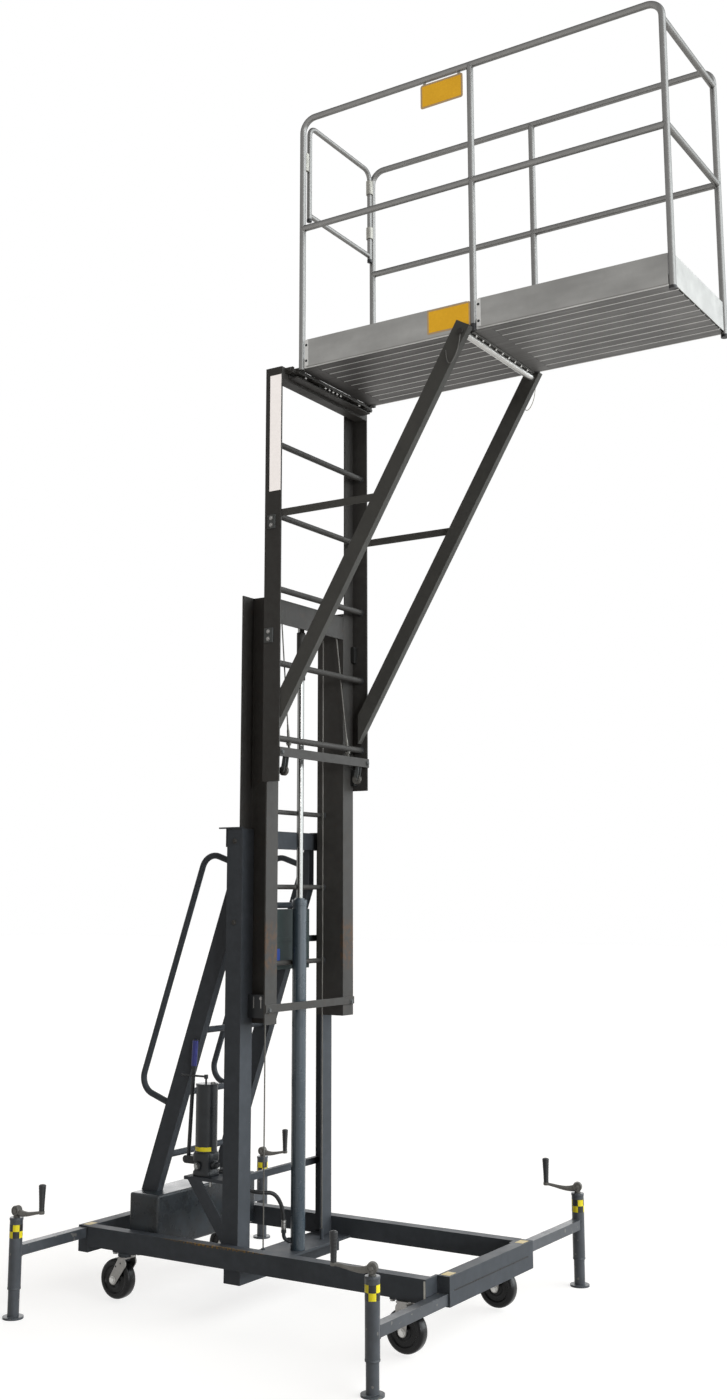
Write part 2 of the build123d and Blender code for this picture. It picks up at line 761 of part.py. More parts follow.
def pump():
    """Hand pump on a bracket behind the near upright, with its lever, release rod and hose."""
    bracket_top = pump_bracket_z + pump_bracket_thickness
    web_ys = (-outer_web_out, -outer_web_in)
    keep("pump_bracket", block((pump_bracket_rear, outer_rear), (-outer_web_out, pump_bracket_inner),
                               (pump_bracket_z, bracket_top)))
    bar_rear = pump_bracket_rear + brace_bar_width / 2
    outline = [(bar_rear, pump_bracket_z), (bar_rear + brace_bar_width, pump_bracket_z),
               (outer_rear, pump_bracket_z - brace_bar_drop + brace_bar_width),
               (outer_rear, pump_bracket_z - brace_bar_drop - brace_bar_width / 2)]
    keep("pump_bracket", plate(outline, *web_ys))

    block_top = bracket_top + pump_block_height
    block_rear = pump_x - pump_block_length / 2
    block_ys = (pump_y - pump_block_width / 2, pump_y + pump_block_width / 2)
    pump_block = block((block_rear, pump_x + pump_block_length / 2), block_ys, (bracket_top, block_top))
    keep("pump_body", pump_block)
    pin_radius = lever_pin_diameter / 2
    lug_inner = lever_diameter / 2 + running_gap
    lug_outer = lug_inner + lever_lug_thickness
    eye = lever_eye_diameter / 2
    pin = crosswise(lever_x, (lever_y - lug_outer, lever_y + lug_outer), lever_pivot_z, pin_radius)
    for side in (-1, 1):
        lug_ys_pair = (lever_y + side * lug_inner, lever_y + side * lug_outer)
        lug = block((lever_x - eye, block_rear), lug_ys_pair, (lever_pivot_z - eye, lever_pivot_z + eye))
        keep("pump_body", lug - pin)
    keep("pump_body", pin)
    reservoir_top = block_top + reservoir_height
    lid_bottom = reservoir_top - reservoir_wall
    radius = reservoir_diameter / 2
    bore = radius - reservoir_wall
    keep("pump_reservoir", upright(pump_x, pump_y, (block_top, lid_bottom), radius, bore))
    keep("pump_reservoir", upright(pump_x, pump_y, (lid_bottom, reservoir_top), radius))

    lever_top = lever_pivot_z + lever_length
    grip_low_x = lever_x + lever_lean * (1 - lever_grip_length / lever_length)
    grip_low = (grip_low_x, lever_y, lever_top - lever_grip_length)
    rod = bar((lever_x, lever_y, lever_pivot_z), grip_low, lever_diameter / 2)
    eye_ys = (lever_y - lever_diameter / 2, lever_y + lever_diameter / 2)
    eye_disc = crosswise(lever_x, eye_ys, lever_pivot_z, eye)
    clear_pin = crosswise(lever_x, (lever_y - eye, lever_y + eye), lever_pivot_z, pin_radius + axle_clearance)
    keep("pump_lever", (rod + eye_disc) - clear_pin)
    keep("pump_lever", bar(grip_low, (lever_x + lever_lean, lever_y, lever_top), lever_grip_diameter / 2))

    post_radius = release_diameter / 2
    post_top = reservoir_top + release_post_height
    keep("pump_reservoir", upright(release_x, release_y, (reservoir_top, post_top), post_radius))
    collar_zs = (post_top - 2 * release_diameter, post_top)
    collar = upright(release_x, release_y, collar_zs, release_diameter, post_radius + release_clearance)
    collar_space = upright(release_x, release_y, collar_zs, release_diameter)
    arm_z = sum(collar_zs) / 2
    arm_tip = (release_x - release_length, release_y, arm_z)
    arm = bar((release_x, release_y, arm_z), arm_tip, post_radius) - collar_space
    keep("release_lever", collar, arm)

    keep("hydraulic_hose", cord("hydraulic_hose", hose_points, hose_diameter))
    foot_x, foot_y, foot_z = hose_points[-1]
    elbow = upright(foot_x, foot_y, (elbow_z, foot_z), elbow_diameter / 2)
    spigot = bar((cylinder_x, 0, elbow_z), (foot_x, foot_y, elbow_z), elbow_diameter / 2)
    barrel = upright(cylinder_x, 0, (foot_floor, barrel_top), barrel_diameter / 2)
    keep("hose_fittings", (spigot + elbow) - barrel)
    start = Vector(*hose_points[0])
    back = (start - Vector(*hose_points[1])).normalized() * nipple_length
    keep("hose_fittings", bar(tuple(start + back), hose_points[0], elbow_diameter / 2) - pump_block)


def middle_mast():
    """Two channels, their rungs, the head that the rod pushes, the rope sheaves and the lower pads."""
    for side in (-1, 1):
        web_ys = (side * middle_web_in, side * middle_web_out)
        flange_ys = (side * middle_web_out, side * middle_tip)
        zs = (middle_bottom, middle_top)
        keep("middle_mast", block((middle_rear, 0), web_ys, zs))
        keep("middle_mast", block((middle_rear, middle_rear + middle_thickness), flange_ys, zs))
        keep("middle_mast", block((-middle_thickness, 0), flange_ys, zs))
        pad_xs = (outer_front + running_gap, outer_front + running_gap + pad_depth)
        pad_ys = (side * middle_web_out, side * (middle_web_out + pad_reach))
        pad_low = middle_bottom + pad_lift
        keep("middle_mast_pads", block(pad_xs, pad_ys, (pad_low, pad_low + pad_height)))
        pin_in = side * (rope_y - sheave_width / 2 - sheave_side_gap)
        pin_head = pin_in - side * sheave_flange
        pin_ys = (pin_in, side * middle_web_in)
        keep("middle_mast", crosswise(sheave_x, pin_ys, sheave_z, sheave_pin_diameter / 2))
        keep("middle_mast", crosswise(sheave_x, (pin_head, pin_in), sheave_z, sheave_pin_head / 2))
        outer_radius = sheave_radius + sheave_flange
        low_y = side * rope_y - sheave_width / 2
        pin_hole = sheave_pin_diameter / 2 + axle_clearance
        sheave = crosswise(sheave_x, (low_y, low_y + sheave_width), sheave_z, outer_radius, pin_hole)
        groove_half = rope_radius + running_gap
        groove = Pos(sheave_x, side * rope_y, sheave_z) * Rot(90, 0, 0) * Torus(sheave_radius, groove_half)
        mouth_half = groove_half + sheave_mouth_gap
        mouth_ys = (side * rope_y - mouth_half, side * rope_y + mouth_half)
        mouth = crosswise(sheave_x, mouth_ys, sheave_z, 2 * sheave_radius, sheave_radius)
        keep("lift_sheaves", sheave - groove - mouth)
    for index in range(middle_rung_count):
        z = middle_rung_top - index * rung_pitch
        rung_ys = (-middle_web_in, middle_web_in)
        keep("middle_mast", crosswise(middle_rung_x, rung_ys, z, middle_rung_diameter / 2))
    bar_low = middle_bottom + middle_bar_lift
    keep("middle_mast", block((0, middle_bar_thickness), (-middle_tip, middle_tip),
                              (bar_low, bar_low + middle_bar_height)))
    head_ys = (-middle_web_in, middle_web_in)
    front = block((head_front - head_thickness, head_front), head_ys, (head_bottom, head_top))
    for side in (-1, 1):
        notch_ys = (side * rope_y - rope_notch_width / 2, side * rope_y + rope_notch_width / 2)
        notch_xs = (head_front - 2 * head_thickness, head_thickness)
        front = front - block(notch_xs, notch_ys, (head_bottom - cut_margin, sheave_z + rope_diameter))
    keep("middle_mast", front)
    shelf_xs = (head_rear, head_front - head_thickness)
    keep("middle_mast", block(shelf_xs, head_ys, (head_top - head_thickness, head_top)))


def ladder():
    """Ladder angles, rungs, bottom bar, head beam with its hinge lugs, pads and rope fittings."""
    for side in (-1, 1):
        web_ys = (side * ladder_web_in, side * ladder_web_out)
        lip_ys = (side * (ladder_web_in - ladder_lip_width), side * ladder_web_in)
        zs = (ladder_bottom, ladder_top)
        keep("ladder_rails", block((ladder_rear, ladder_front), web_ys, zs))
        keep("ladder_rails", block((ladder_rear, ladder_lip_front), lip_ys, zs))
        for lift in side_pad_lifts:
            pad_ys = (side * (ladder_web_in - side_pad_width), side * ladder_web_in)
            pad_zs = (ladder_bottom + lift, ladder_bottom + lift + side_pad_height)
            keep("ladder_pads", block((running_gap, running_gap + side_pad_depth), pad_ys, pad_zs))
        yoke_x = ladder_front - yoke_setback
        yoke_half = roller_width / 2 + running_gap
        yoke_zs = (roller_z - yoke_foot, ladder_bar_z + ladder_bar_height)
        for edge in (-1, 1):
            ys = (side * roller_y + edge * yoke_half, side * roller_y + edge * (yoke_half + yoke_thickness))
            keep("rope_fittings", block((yoke_x - yoke_width / 2, ladder_front), ys, yoke_zs))
        roller_ys = (side * roller_y - roller_width / 2, side * roller_y + roller_width / 2)
        keep("rope_fittings", crosswise(yoke_x, roller_ys, roller_z, roller_diameter / 2))
    for index in range(rung_count):
        z = rung_top_z - index * rung_pitch
        keep("ladder_rungs", crosswise(rung_x, (-ladder_web_in, ladder_web_in), z, rung_diameter / 2))
    bar_xs = (ladder_front, ladder_front + ladder_bar_thickness)
    bar_zs = (ladder_bar_z, ladder_bar_z + ladder_bar_height)
    keep("ladder_rungs", block(bar_xs, (-ladder_web_out, ladder_web_out), bar_zs))
    beam_xs = (ladder_front - head_beam_depth, ladder_front)
    beam_zs = (ladder_top - head_beam_height, ladder_top)
    keep("ladder_rungs", square_tube(beam_xs, (-ladder_web_in, ladder_web_in), beam_zs, tube_wall, "y"))
    half_knuckle = knuckle_height / 2
    hole_radius = hinge_pin_diameter / 2 + hinge_clearance
    pin_hole = crosswise(hinge_x, (-ladder_web_out, ladder_web_out), hinge_z, hole_radius)
    for side in (-1, 1):
        for y in lug_ys:
            lug = block((ladder_front, hinge_x + half_knuckle), (side * y, side * (y + lug_width)),
                        (hinge_z - half_knuckle, hinge_z + half_knuckle))
            keep("ladder_rungs", lug - pin_hole)
    for side in (-1, 1):
        eye_ys = (side * rope_eye_y - rope_eye_width / 2, side * rope_eye_y + rope_eye_width / 2)
        centre = Vector(rung_x, side * rope_eye_y, rung_low_z)
        top = Vector(sheave_x + sheave_radius, side * rope_y, sheave_z)
        pull = (top - centre).normalized()
        stud_start = centre + pull * (rung_diameter / 2 + running_gap)
        stud_end = centre + pull * (rope_eye_diameter / 2 + rope_stud_length)
        eye_solid = crosswise(rung_x, eye_ys, rung_low_z, rope_eye_diameter / 2)
        stud = bar(tuple(stud_start), tuple(stud_end), rope_stud_diameter / 2)
        space_ys = (eye_ys[0] - cut_margin, eye_ys[1] + cut_margin)
        rung_space = crosswise(rung_x, space_ys, rung_low_z, rung_diameter / 2 + axle_clearance)
        keep("rope_fittings", (eye_solid + stud) - rung_space)
        keep("upper_lift_ropes", bar(tuple(stud_end), tuple(top), rope_radius))


def strut_edge_x(z, offset):
    """X where a strut's edge, this far square to its middle line, crosses a height."""
    return strut_line_x + (z - strut_line_z) / math.tan(strut_angle) - offset / math.sin(strut_angle)


def struts():
    """Sloping struts, the stays that tie them to the ladder, the cross pipe and the pins at their tips."""
    half = strut_depth / 2
    square = (-half * math.sin(strut_angle), half * math.cos(strut_angle))
    rise = math.tan(strut_angle)
    root_z = strut_line_z + (strut_root_x - strut_line_x) * rise
    root_half = half / math.cos(strut_angle)
    outline = [(strut_root_x, root_z - root_half), (strut_tip_x - square[0], strut_tip_z - square[1]),
               (strut_tip_x + square[0], strut_tip_z + square[1]), (strut_root_x, root_z + root_half)]
    hole_ys = (-strut_out - cut_margin, strut_out + cut_margin)
    pin_hole = crosswise(cross_pipe_x, hole_ys, cross_pipe_z, pin_diameter / 2 + pin_clearance)
    inner_half = half - strut_wall
    low_z, high_z = 0, 2 * strut_tip_z
    hollow = [(strut_edge_x(low_z, -inner_half), low_z), (strut_edge_x(high_z, -inner_half), high_z),
              (strut_edge_x(high_z, inner_half), high_z), (strut_edge_x(low_z, inner_half), low_z)]
    stay_outline = [(stay_start_x, stay_z), (strut_edge_x(stay_z, half), stay_z),
                    (strut_edge_x(stay_z + stay_height, half), stay_z + stay_height),
                    (stay_start_x, stay_z + stay_height)]
    for side, label in ((-1, "near"), (1, "far")):
        low_y, high_y = sorted((side * strut_in, side * strut_out))
        tube = plate(outline, low_y, high_y) - plate(hollow, low_y + strut_wall, high_y - strut_wall)
        keep("platform_struts", tube - pin_hole)
        stay_ys = sorted((side * (ladder_web_in - stay_thickness), side * ladder_web_in))
        keep("platform_struts", plate(stay_outline, *stay_ys))
        pin_tip = side * (strut_in - pin_depth)
        head_start = side * (strut_out + running_gap)
        head_end = head_start + side * pin_head_length
        shank = crosswise(cross_pipe_x, (pin_tip, head_start), cross_pipe_z, pin_diameter / 2)
        head = crosswise(cross_pipe_x, (head_start, head_end), cross_pipe_z, pin_head_diameter / 2)
        keep(f"{label}_platform_pin", shank + head)
    keep("cross_pipe", crosswise(cross_pipe_x, (-strut_in, strut_in), cross_pipe_z, pipe_radius, pipe_bore))


def post_space(x, side, radius):
    """Cylinder round a post, to cut other pieces back from it."""
    return upright(x, side * post_y, (post_bottom - post_cap_height, top_rail_z), radius)


def deck_half(start, end, post_xs):
    """Ribbed plank from one X to another, cut back round the posts."""
    skin_bottom = deck_underside + deck_depth - deck_skin
    deck_top = deck_underside + deck_depth
    pitch = (2 * deck_half_width - deck_rib) / (deck_rib_count - 1)
    outline = [(-deck_half_width, deck_top)]
    for index in range(deck_rib_count):
        low = -deck_half_width + index * pitch
        if index > 0:
            outline.append((low, skin_bottom))
        outline += [(low, deck_underside), (low + deck_rib, deck_underside)]
        if index < deck_rib_count - 1:
            outline.append((low + deck_rib, skin_bottom))
    outline.append((deck_half_width, deck_top))
    section = make_face(Polyline(*[(start, y, z) for y, z in outline], close=True))
    plank = extrude(section, amount=end - start, dir=(1, 0, 0))
    for x in post_xs:
        for side in (-1, 1):
            plank = plank - post_space(x, side, pipe_radius + post_clearance)
    return plank


def platform():
    """Deck, toe boards, guard rails and the hinge that joins the deck to the ladder."""
    keep("deck", deck_half(deck_start, deck_split - deck_gap / 2, [gate_post_x]))
    keep("deck", deck_half(deck_split + deck_gap / 2, deck_end, [mid_post_x, end_post_x]))
    board_zs = (deck_underside + board_lift, board_top)
    gap = pipe_radius + board_post_gap
    board_out = deck_half_width + board_thickness
    for side in (-1, 1):
        ys = (side * deck_half_width, side * board_out)
        for start, end in ((gate_post_x, mid_post_x), (mid_post_x, end_post_x)):
            keep("toe_boards", block((start + gap, end - gap), ys, board_zs))
    end_board_half = post_y - pipe_radius - board_thickness
    end_xs = (deck_end, deck_end + board_thickness)
    keep("toe_boards", block(end_xs, (-end_board_half, end_board_half), board_zs))

    for side in (-1, 1):
        y = side * post_y
        loop = [(gate_post_x, y, post_bottom), (gate_post_x, y, top_rail_z), (end_post_x, y, top_rail_z),
                (end_post_x, y, post_bottom)]
        keep("guard_rails", bent_pipe(loop, rail_bend, pipe_radius, pipe_wall))
        foot_z = deck_underside + mid_post_foot
        top_rail = bar((gate_post_x, y, top_rail_z), (end_post_x, y, top_rail_z), pipe_radius)
        mid_post = upright(mid_post_x, y, (foot_z, top_rail_z), pipe_radius, pipe_bore)
        keep("guard_rails", mid_post - top_rail)
        for start, end in ((gate_post_x, mid_post_x), (mid_post_x, end_post_x)):
            span = bar((start, y, mid_rail_z), (end, y, mid_rail_z), pipe_radius, pipe_bore)
            for x in (start, end):
                span = span - post_space(x, side, pipe_radius)
            keep("guard_rails", span)
        keep("post_caps", upright(mid_post_x, y, (deck_underside, foot_z), pipe_radius))
        cap_zs = (post_bottom - post_cap_height, post_bottom)
        keep("post_caps", upright(end_post_x, y, cap_zs, post_cap_diameter / 2))
    for z in (mid_rail_z, end_rail_z):
        span = crosswise(end_post_x, (-post_y, post_y), z, pipe_radius, pipe_bore)
        for side in (-1, 1):
            span = span - post_space(end_post_x, side, pipe_radius)
        keep("guard_rails", span)

    half_knuckle = knuckle_height / 2
    pin_radius = hinge_pin_diameter / 2
    pin_reach = deck_half_width + hinge_pin_overhang
    hinge_pin = crosswise(hinge_x, (-pin_reach, pin_reach), hinge_z, pin_radius)
    keep("platform_hinge", hinge_pin)
    for side in (-1, 1):
        for y in knuckle_ys:
            knuckle = block((hinge_x - half_knuckle, deck_start), (side * y, side * (y + knuckle_width)),
                            (hinge_z - half_knuckle, hinge_z + half_knuckle))
            keep("platform_hinge", knuckle - hinge_pin)


def gate():
    """Gate of bent pipe that turns in two rings on the far post and closes on a latch plate."""
    x = gate_post_x
    loop = [(x, gate_far_y, gate_bottom_z), (x, gate_far_y, gate_top_z), (x, gate_near_y, gate_top_z),
            (x, gate_near_y, gate_bottom_z)]
    keep("gate_frame", bent_pipe(loop, gate_bend, gate_radius, gate_pipe_wall))
    low_bar = crosswise(x, (gate_near_y, gate_far_y), gate_low_z, gate_radius, gate_radius - gate_pipe_wall)
    for y in (gate_near_y, gate_far_y):
        low_bar = low_bar - upright(x, y, (gate_bottom_z, gate_top_z), gate_radius)
    keep("gate_frame", low_bar)
    for low_drop, high_drop in gate_ring_drops:
        zs = (top_rail_z - low_drop, top_rail_z - high_drop)
        ring = upright(x, gate_far_y, zs, gate_ring_diameter / 2, gate_radius + gate_clearance)
        keep("gate_fittings", ring - post_space(x, 1, pipe_radius))
    latch_ys = (-post_y, gate_near_y - gate_radius - latch_gap)
    latch_zs = (top_rail_z - latch_drops[0], top_rail_z - latch_drops[1])
    latch = block((x - latch_thickness / 2, x + latch_thickness / 2), latch_ys, latch_zs)
    keep("gate_fittings", latch - post_space(x, -1, pipe_radius))


def lanyards():
    """Wire loops that hang from the pin heads and go back up to the struts."""
    head_y = strut_out + running_gap + pin_head_length / 2
    low = cross_pipe_z - pin_head_diameter / 2 - running_gap
    for side, label in ((-1, "near"), (1, "far")):
        points = [(cross_pipe_x + along, side * (head_y + out), low + rise)
                  for along, out, rise in lanyard_route]
        along, out, rise = lanyard_end
        points.append((cross_pipe_x + along, side * (strut_out + out), low + rise))
        keep("pin_lanyards", cord(label + " lanyard", points, lanyard_diameter))


def write_parts():
    """Move every piece to the lift's own origin and write one file for each node."""
    outer_names = ("rear_near_leg", "post_caps", "guard_rails", "front_near_crank", "rear_far_leg")
    box = Compound(children=[solid for name in outer_names for solid in nodes[name]]).bounding_box()
    shift = Pos(-(box.min.X + box.max.X) / 2, -(box.min.Y + box.max.Y) / 2, 0)
    print("origin at", (box.min.X + box.max.X) / 2, (box.min.Y + box.max.Y) / 2, "lowest", box.min.Z)
    print("size", box.size.X, box.size.Y, box.size.Z)
    os.makedirs("parts", exist_ok=True)
    for name, group in nodes.items():
        export_step(Compound(children=[shift * solid for solid in group]), f"parts/{name}.step")


base_frame()
outrigger("rear_near", rear_sleeve_x, -1, rear_near_reach, upper_arm_z, rear_crank_heading)
outrigger("rear_far", rear_sleeve_x, 1, rear_far_reach, lower_arm_z, rear_crank_heading)
outrigger("front_near", front_sleeve_x, -1, front_near_reach, lower_arm_z, front_near_crank_heading)
outrigger("front_far", front_sleeve_x, 1, front_far_reach, upper_arm_z, front_far_crank_heading)
casters()
mast_foot()
outer_mast()
braces()
boxes()
cylinder()
pump()
middle_mast()
ladder()
struts()
platform()
gate()
lanyards()
write_parts()
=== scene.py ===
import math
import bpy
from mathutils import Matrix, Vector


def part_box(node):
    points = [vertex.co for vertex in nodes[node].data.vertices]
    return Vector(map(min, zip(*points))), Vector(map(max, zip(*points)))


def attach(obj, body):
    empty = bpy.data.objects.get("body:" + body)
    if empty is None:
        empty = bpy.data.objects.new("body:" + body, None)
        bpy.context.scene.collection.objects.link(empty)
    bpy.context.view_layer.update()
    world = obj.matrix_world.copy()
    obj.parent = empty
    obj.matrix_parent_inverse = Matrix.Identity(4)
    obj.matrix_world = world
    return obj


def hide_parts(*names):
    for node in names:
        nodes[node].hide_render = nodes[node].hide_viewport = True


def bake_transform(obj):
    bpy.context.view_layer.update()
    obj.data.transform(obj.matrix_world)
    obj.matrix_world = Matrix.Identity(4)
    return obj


bl_info = {
    "name": "Personnel lift looks",
    "version": (1, 0, 0),
    "blender": (4, 5, 0),
    "location": "View3D > Sidebar > Lift",
    "description": "Finishes, cords and small pieces for a push-around personnel lift",
    "category": "Object",
}

import bmesh
import bpy
import numpy as np
from bpy.props import FloatProperty, FloatVectorProperty, PointerProperty
from bpy.types import Operator, Panel, PropertyGroup
from mathutils import Vector

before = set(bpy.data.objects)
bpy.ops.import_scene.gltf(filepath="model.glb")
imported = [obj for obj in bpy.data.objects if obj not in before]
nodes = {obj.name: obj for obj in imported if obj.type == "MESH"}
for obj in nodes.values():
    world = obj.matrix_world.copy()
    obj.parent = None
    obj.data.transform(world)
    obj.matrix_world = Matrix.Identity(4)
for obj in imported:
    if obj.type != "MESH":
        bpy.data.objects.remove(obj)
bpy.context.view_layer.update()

# Sizes below are in millimetres, counted from the middle mast's front face, the mast's middle and the floor.
# The middle mast's bottom bar stands 6 mm in front of that face, which fixes the place of the whole lift.
bar_thickness = 0.006
mast_low, mast_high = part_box("middle_mast")
mast_origin = np.array([mast_high.x - bar_thickness, (mast_low.y + mast_high.y) / 2, 0.0])

rear_arm_x = -856.4
front_arm_x = 766.4
upper_arm_z = 244.2
lower_arm_z = 193.4
# Each jack's place along X and Y, and its crank's heading in degrees.
corners = {
    "rear_near": (rear_arm_x, -750.0, 0.0),
    "rear_far": (rear_arm_x, 860.0, 0.0),
    "front_near": (front_arm_x, -768.0, 200.0),
    "front_far": (front_arm_x, 855.0, 198.0),
}
arm_zs = {
    "rear_near": upper_arm_z,
    "rear_far": lower_arm_z,
    "front_near": lower_arm_z,
    "front_far": upper_arm_z,
}
jack_top = 365.0
crank_hub_z = 390.0
rail_middle = 350.4
axle_z = 86.0
fork_leg_in = 28.0
fork_leg_out = 34.0
wheel_places = {
    "rear_near": (-683.0, -rail_middle),
    "rear_far": (-683.0, rail_middle),
    "front_near": (648.0, -rail_middle),
    "front_far": (648.0, rail_middle),
}
rope_y = 204.0
sheave_x = -48.5
sheave_z = 2735.0
sheave_radius = 31.5
front_rope_x = sheave_x + sheave_radius
rope_stud_end = (28.67, 218.1, 2267.5)
rope_anchor_z = 243.0
post_y = 280.0
post_xs = (132.0, 937.0, 1740.0)
mid_rail_z = 4360.0
top_rail_z = 4855.0
end_rail_z = 4783.0
pipe_radius = 13.35
rung_step = 304.8
rung_x = 34.7
rung_zs = 3425.0 - rung_step * np.arange(5)
cylinder_x = -58.0
pump_x = -310.0
pump_y = -275.0
lever_pivot = (-404.0, -268.0, 555.0)
gate_ys = (-232.0, 255.0)
hose_route = [
    (-296.0, -222.0, 520.0),
    (-280.0, -192.0, 512.0),
    (-250.0, -164.0, 490.0),
    (-208.0, -142.0, 432.0),
    (-155.0, -112.0, 425.0),
    (-115.0, -76.0, 424.0),
    (-95.0, -45.0, 356.0),
    (-95.0, -45.0, 305.0),
]
pin_head = (905.0, 331.8, 3714.05)
lanyard_route = [
    (0.0, 0.0, 0.0),
    (-2.0, 3.0, -30.0),
    (-14.0, 6.0, -80.0),
    (-40.0, 5.0, -118.0),
    (-62.0, 2.0, -98.0),
]
lanyard_end = (839.0, 328.8, 3662.05)

# Light: each lamp's name, strength, angle in degrees, colour and the way that it shines from.
lamps = [
    ("key", 5.4, 92, (0.90, 0.965, 1.0), (0.92, 0.31, 0.21)),
    ("strip", 0.4, 5, (1.0, 1.0, 1.0), (0.83, -0.54, 0.12)),
    ("back", 1.3, 70, (1.0, 1.0, 1.0), (-0.70, 0.66, 0.16)),
]
sky_light = 0.18
sky_tint = (1.0, 0.93, 0.83, 1.0)
white = (1.0, 1.0, 1.0, 1.0)
floor_half = 40.0
floor_glow = 0.74


def spot(x, y, z):
    """Point in millimetres from the mast, as metres in the row frame: p / 1000 + origin."""
    return np.array([x, y, z], float) / 1000 + mast_origin


def linear(code):
    """Linear colour of an sRGB hex code: c / 12.92 up to 0.04045, else ((c + 0.055) / 1.055) ** 2.4."""
    value = np.array([int(code[i:i + 2], 16) for i in (1, 3, 5)]) / 255
    return tuple(np.where(value <= 0.04045, value / 12.92, ((value + 0.055) / 1.055) ** 2.4))


def per_mm(size):
    """Texture scale whose pattern repeats about every so many millimetres."""
    return 1000.0 / size


def colour(label, words, code):
    """Colour property with a name, a description and a default given as an sRGB hex code."""
    return FloatVectorProperty(name=label, description=words, default=linear(code), subtype="COLOR",
                               size=3, min=0, max=1)


def measure(label, words, metres):
    """Length property with a name, a description and a default in metres."""
    return FloatProperty(name=label, description=words, default=metres, unit="LENGTH")


class LiftColours(PropertyGroup):
    paint: colour("Paint", "Charcoal enamel of the base and the outer mast", "#404347")
    paint_dust: colour("Paint dust", "Dust that lies in patches on that enamel", "#4d5055")
    mast_paint: colour("Mast paint", "Warmer charcoal enamel of the sliding stages", "#43413f")
    strut_paint: colour("Struts", "Greyer enamel of the struts under the platform", "#575653")
    mast_dust: colour("Mast dust", "Dust that lies in patches on that enamel", "#4e4d4b")
    clip: colour("Clip paint", "Paler charcoal of clips and bolt heads", "#5d5f5f")
    rust: colour("Rust", "Rust that shows through on the mast's flanges", "#6b4a2c")
    bare_steel: colour("Bare steel", "Steel where the enamel is worn off an edge", "#6f6d69")
    cylinder: colour("Cylinder", "Blue grey enamel of the cylinder", "#38434b")
    box: colour("Box", "Green grey enamel of the box in the mast", "#394140")
    primer: colour("Primer", "Ochre primer where boots have scuffed a rail's edge", "#8b6a2e")
    pump: colour("Pump", "Black grey enamel of the pump", "#27292b")
    aluminium: colour("Aluminium", "Mill finish of the platform's pipes", "#898886")
    chrome: colour("Chrome", "Plating of the piston rod", "#868684")
    zinc: colour("Zinc", "Zinc plating of forks, pins and bolts", "#8f8d8a")
    galvanised: colour("Galvanised", "Zinc of the cross pipe and the axle nuts", "#c4c3c0")
    passivated: colour("Passivated", "Yellow zinc of the platform pins", "#857a5c")
    casting: colour("Casting", "Cast arms of the cranks", "#676561")
    rope: colour("Rope", "Wire rope", "#64625e")
    rubber: colour("Rubber", "Hose and grips", "#161617")
    tread: colour("Tread", "Moulded wheels", "#070708")
    pad: colour("Pad", "Slide pads", "#222221")
    yellow: colour("Yellow", "Yellow marking film", "#ecd821")
    # The same black is painted shade where it stands for the forks' lightening holes.
    black_film: colour("Black film", "Black marking film", "#141414")
    blue_grip: colour("Blue grip", "Dipped vinyl grip of the pump lever", "#262b73")
    cord_light: colour("Light lanyard", "Coated wire of the far pin's lanyard", "#b9b39f")
    cord_dark: colour("Dark lanyard", "Coated wire of the near pin's lanyard", "#6f6d6a")
    floor: colour("Floor", "Pale floor", "#aeaaa6")
    amber: colour("Amber plate", "Plain amber film of the plates on the platform", "#d6a42e")
    straw: colour("Straw film", "Plain films on the sleeves", "#c3aa60")
    backing: colour("Backing", "Bronze lacquer of the plates' rims", "#a68d6b")
    pale_film: colour("Pale film", "Plain pale film on the ladder", "#f3ede9")
    blue_film: colour("Blue film", "Plain blue film on the document box", "#2f4488")
    deck: colour("Deck", "Ribs and top of the extruded planks", "#deddda")
    # Painted shade: the liner is the planks' own aluminium, drawn darker than the deck for the shade in the
    # recesses between the ribs.
    liner: colour("Liner", "Planks' undersides between the ribs", "#6f6e6c")
    # A darker painted shade for the underside of the plank next to the ladder.
    deeper_liner_shade: colour("Grime", "Grimy underside of the plank next to the ladder", "#545250")
    board: colour("Board", "Toe boards", "#9d9c99")
    fitting: colour("Fitting", "Dull cast fittings of the gate", "#9b9992")


class LiftSizes(PropertyGroup):
    hose_diameter: measure("Hose", "Outside diameter of the hydraulic hose", 0.016)
    lanyard_diameter: measure("Lanyard", "Diameter of the pin lanyards", 0.003)
    rope_diameter: measure("Rope", "Diameter of the lift ropes", 0.0058)
    rope_lay: measure("Rope lay", "Length of one turn of a rope's strands", 0.048)
    weld_radius: measure("Weld", "Radius of the weld beads", 0.0026)
    edge_radius: measure("Edge", "Radius of the steel's edges", 0.0018)


def colours():
    return bpy.context.scene.lift_colours


def sizes():
    return bpy.context.scene.lift_sizes


# Surfaces: each function gives points and faces, and build puts them into one mesh.
sharp_angle = math.radians(38)


def lattice(points, wrap_u=False, wrap_v=True, caps=True):
    """Quads over a grid of points. A wrap joins the last line to the first, and caps close the open ends."""
    index = np.arange(points.shape[0] * points.shape[1]).reshape(points.shape[:2])
    grid = np.vstack([index, index[:1]]) if wrap_u else index
    grid = np.hstack([grid, grid[:, :1]]) if wrap_v else grid
    quads = np.stack([grid[:-1, :-1], grid[:-1, 1:], grid[1:, 1:], grid[1:, :-1]], axis=-1)
    faces = quads.reshape(-1, 4).tolist()
    if caps and not wrap_u:
        faces += [index[0, ::-1].tolist(), index[-1].tolist()]
    return points.reshape(-1, 3), faces


def across(axis):
    """Two unit vectors square to an axis and to each other."""
    axis = np.array(axis, float) / np.linalg.norm(axis)
    helper = np.array([1.0, 0, 0]) if abs(axis[0]) < 0.9 else np.array([0, 1.0, 0])
    first = np.cross(axis, helper)
    first = first / np.linalg.norm(first)
    return axis, first, np.cross(axis, first)


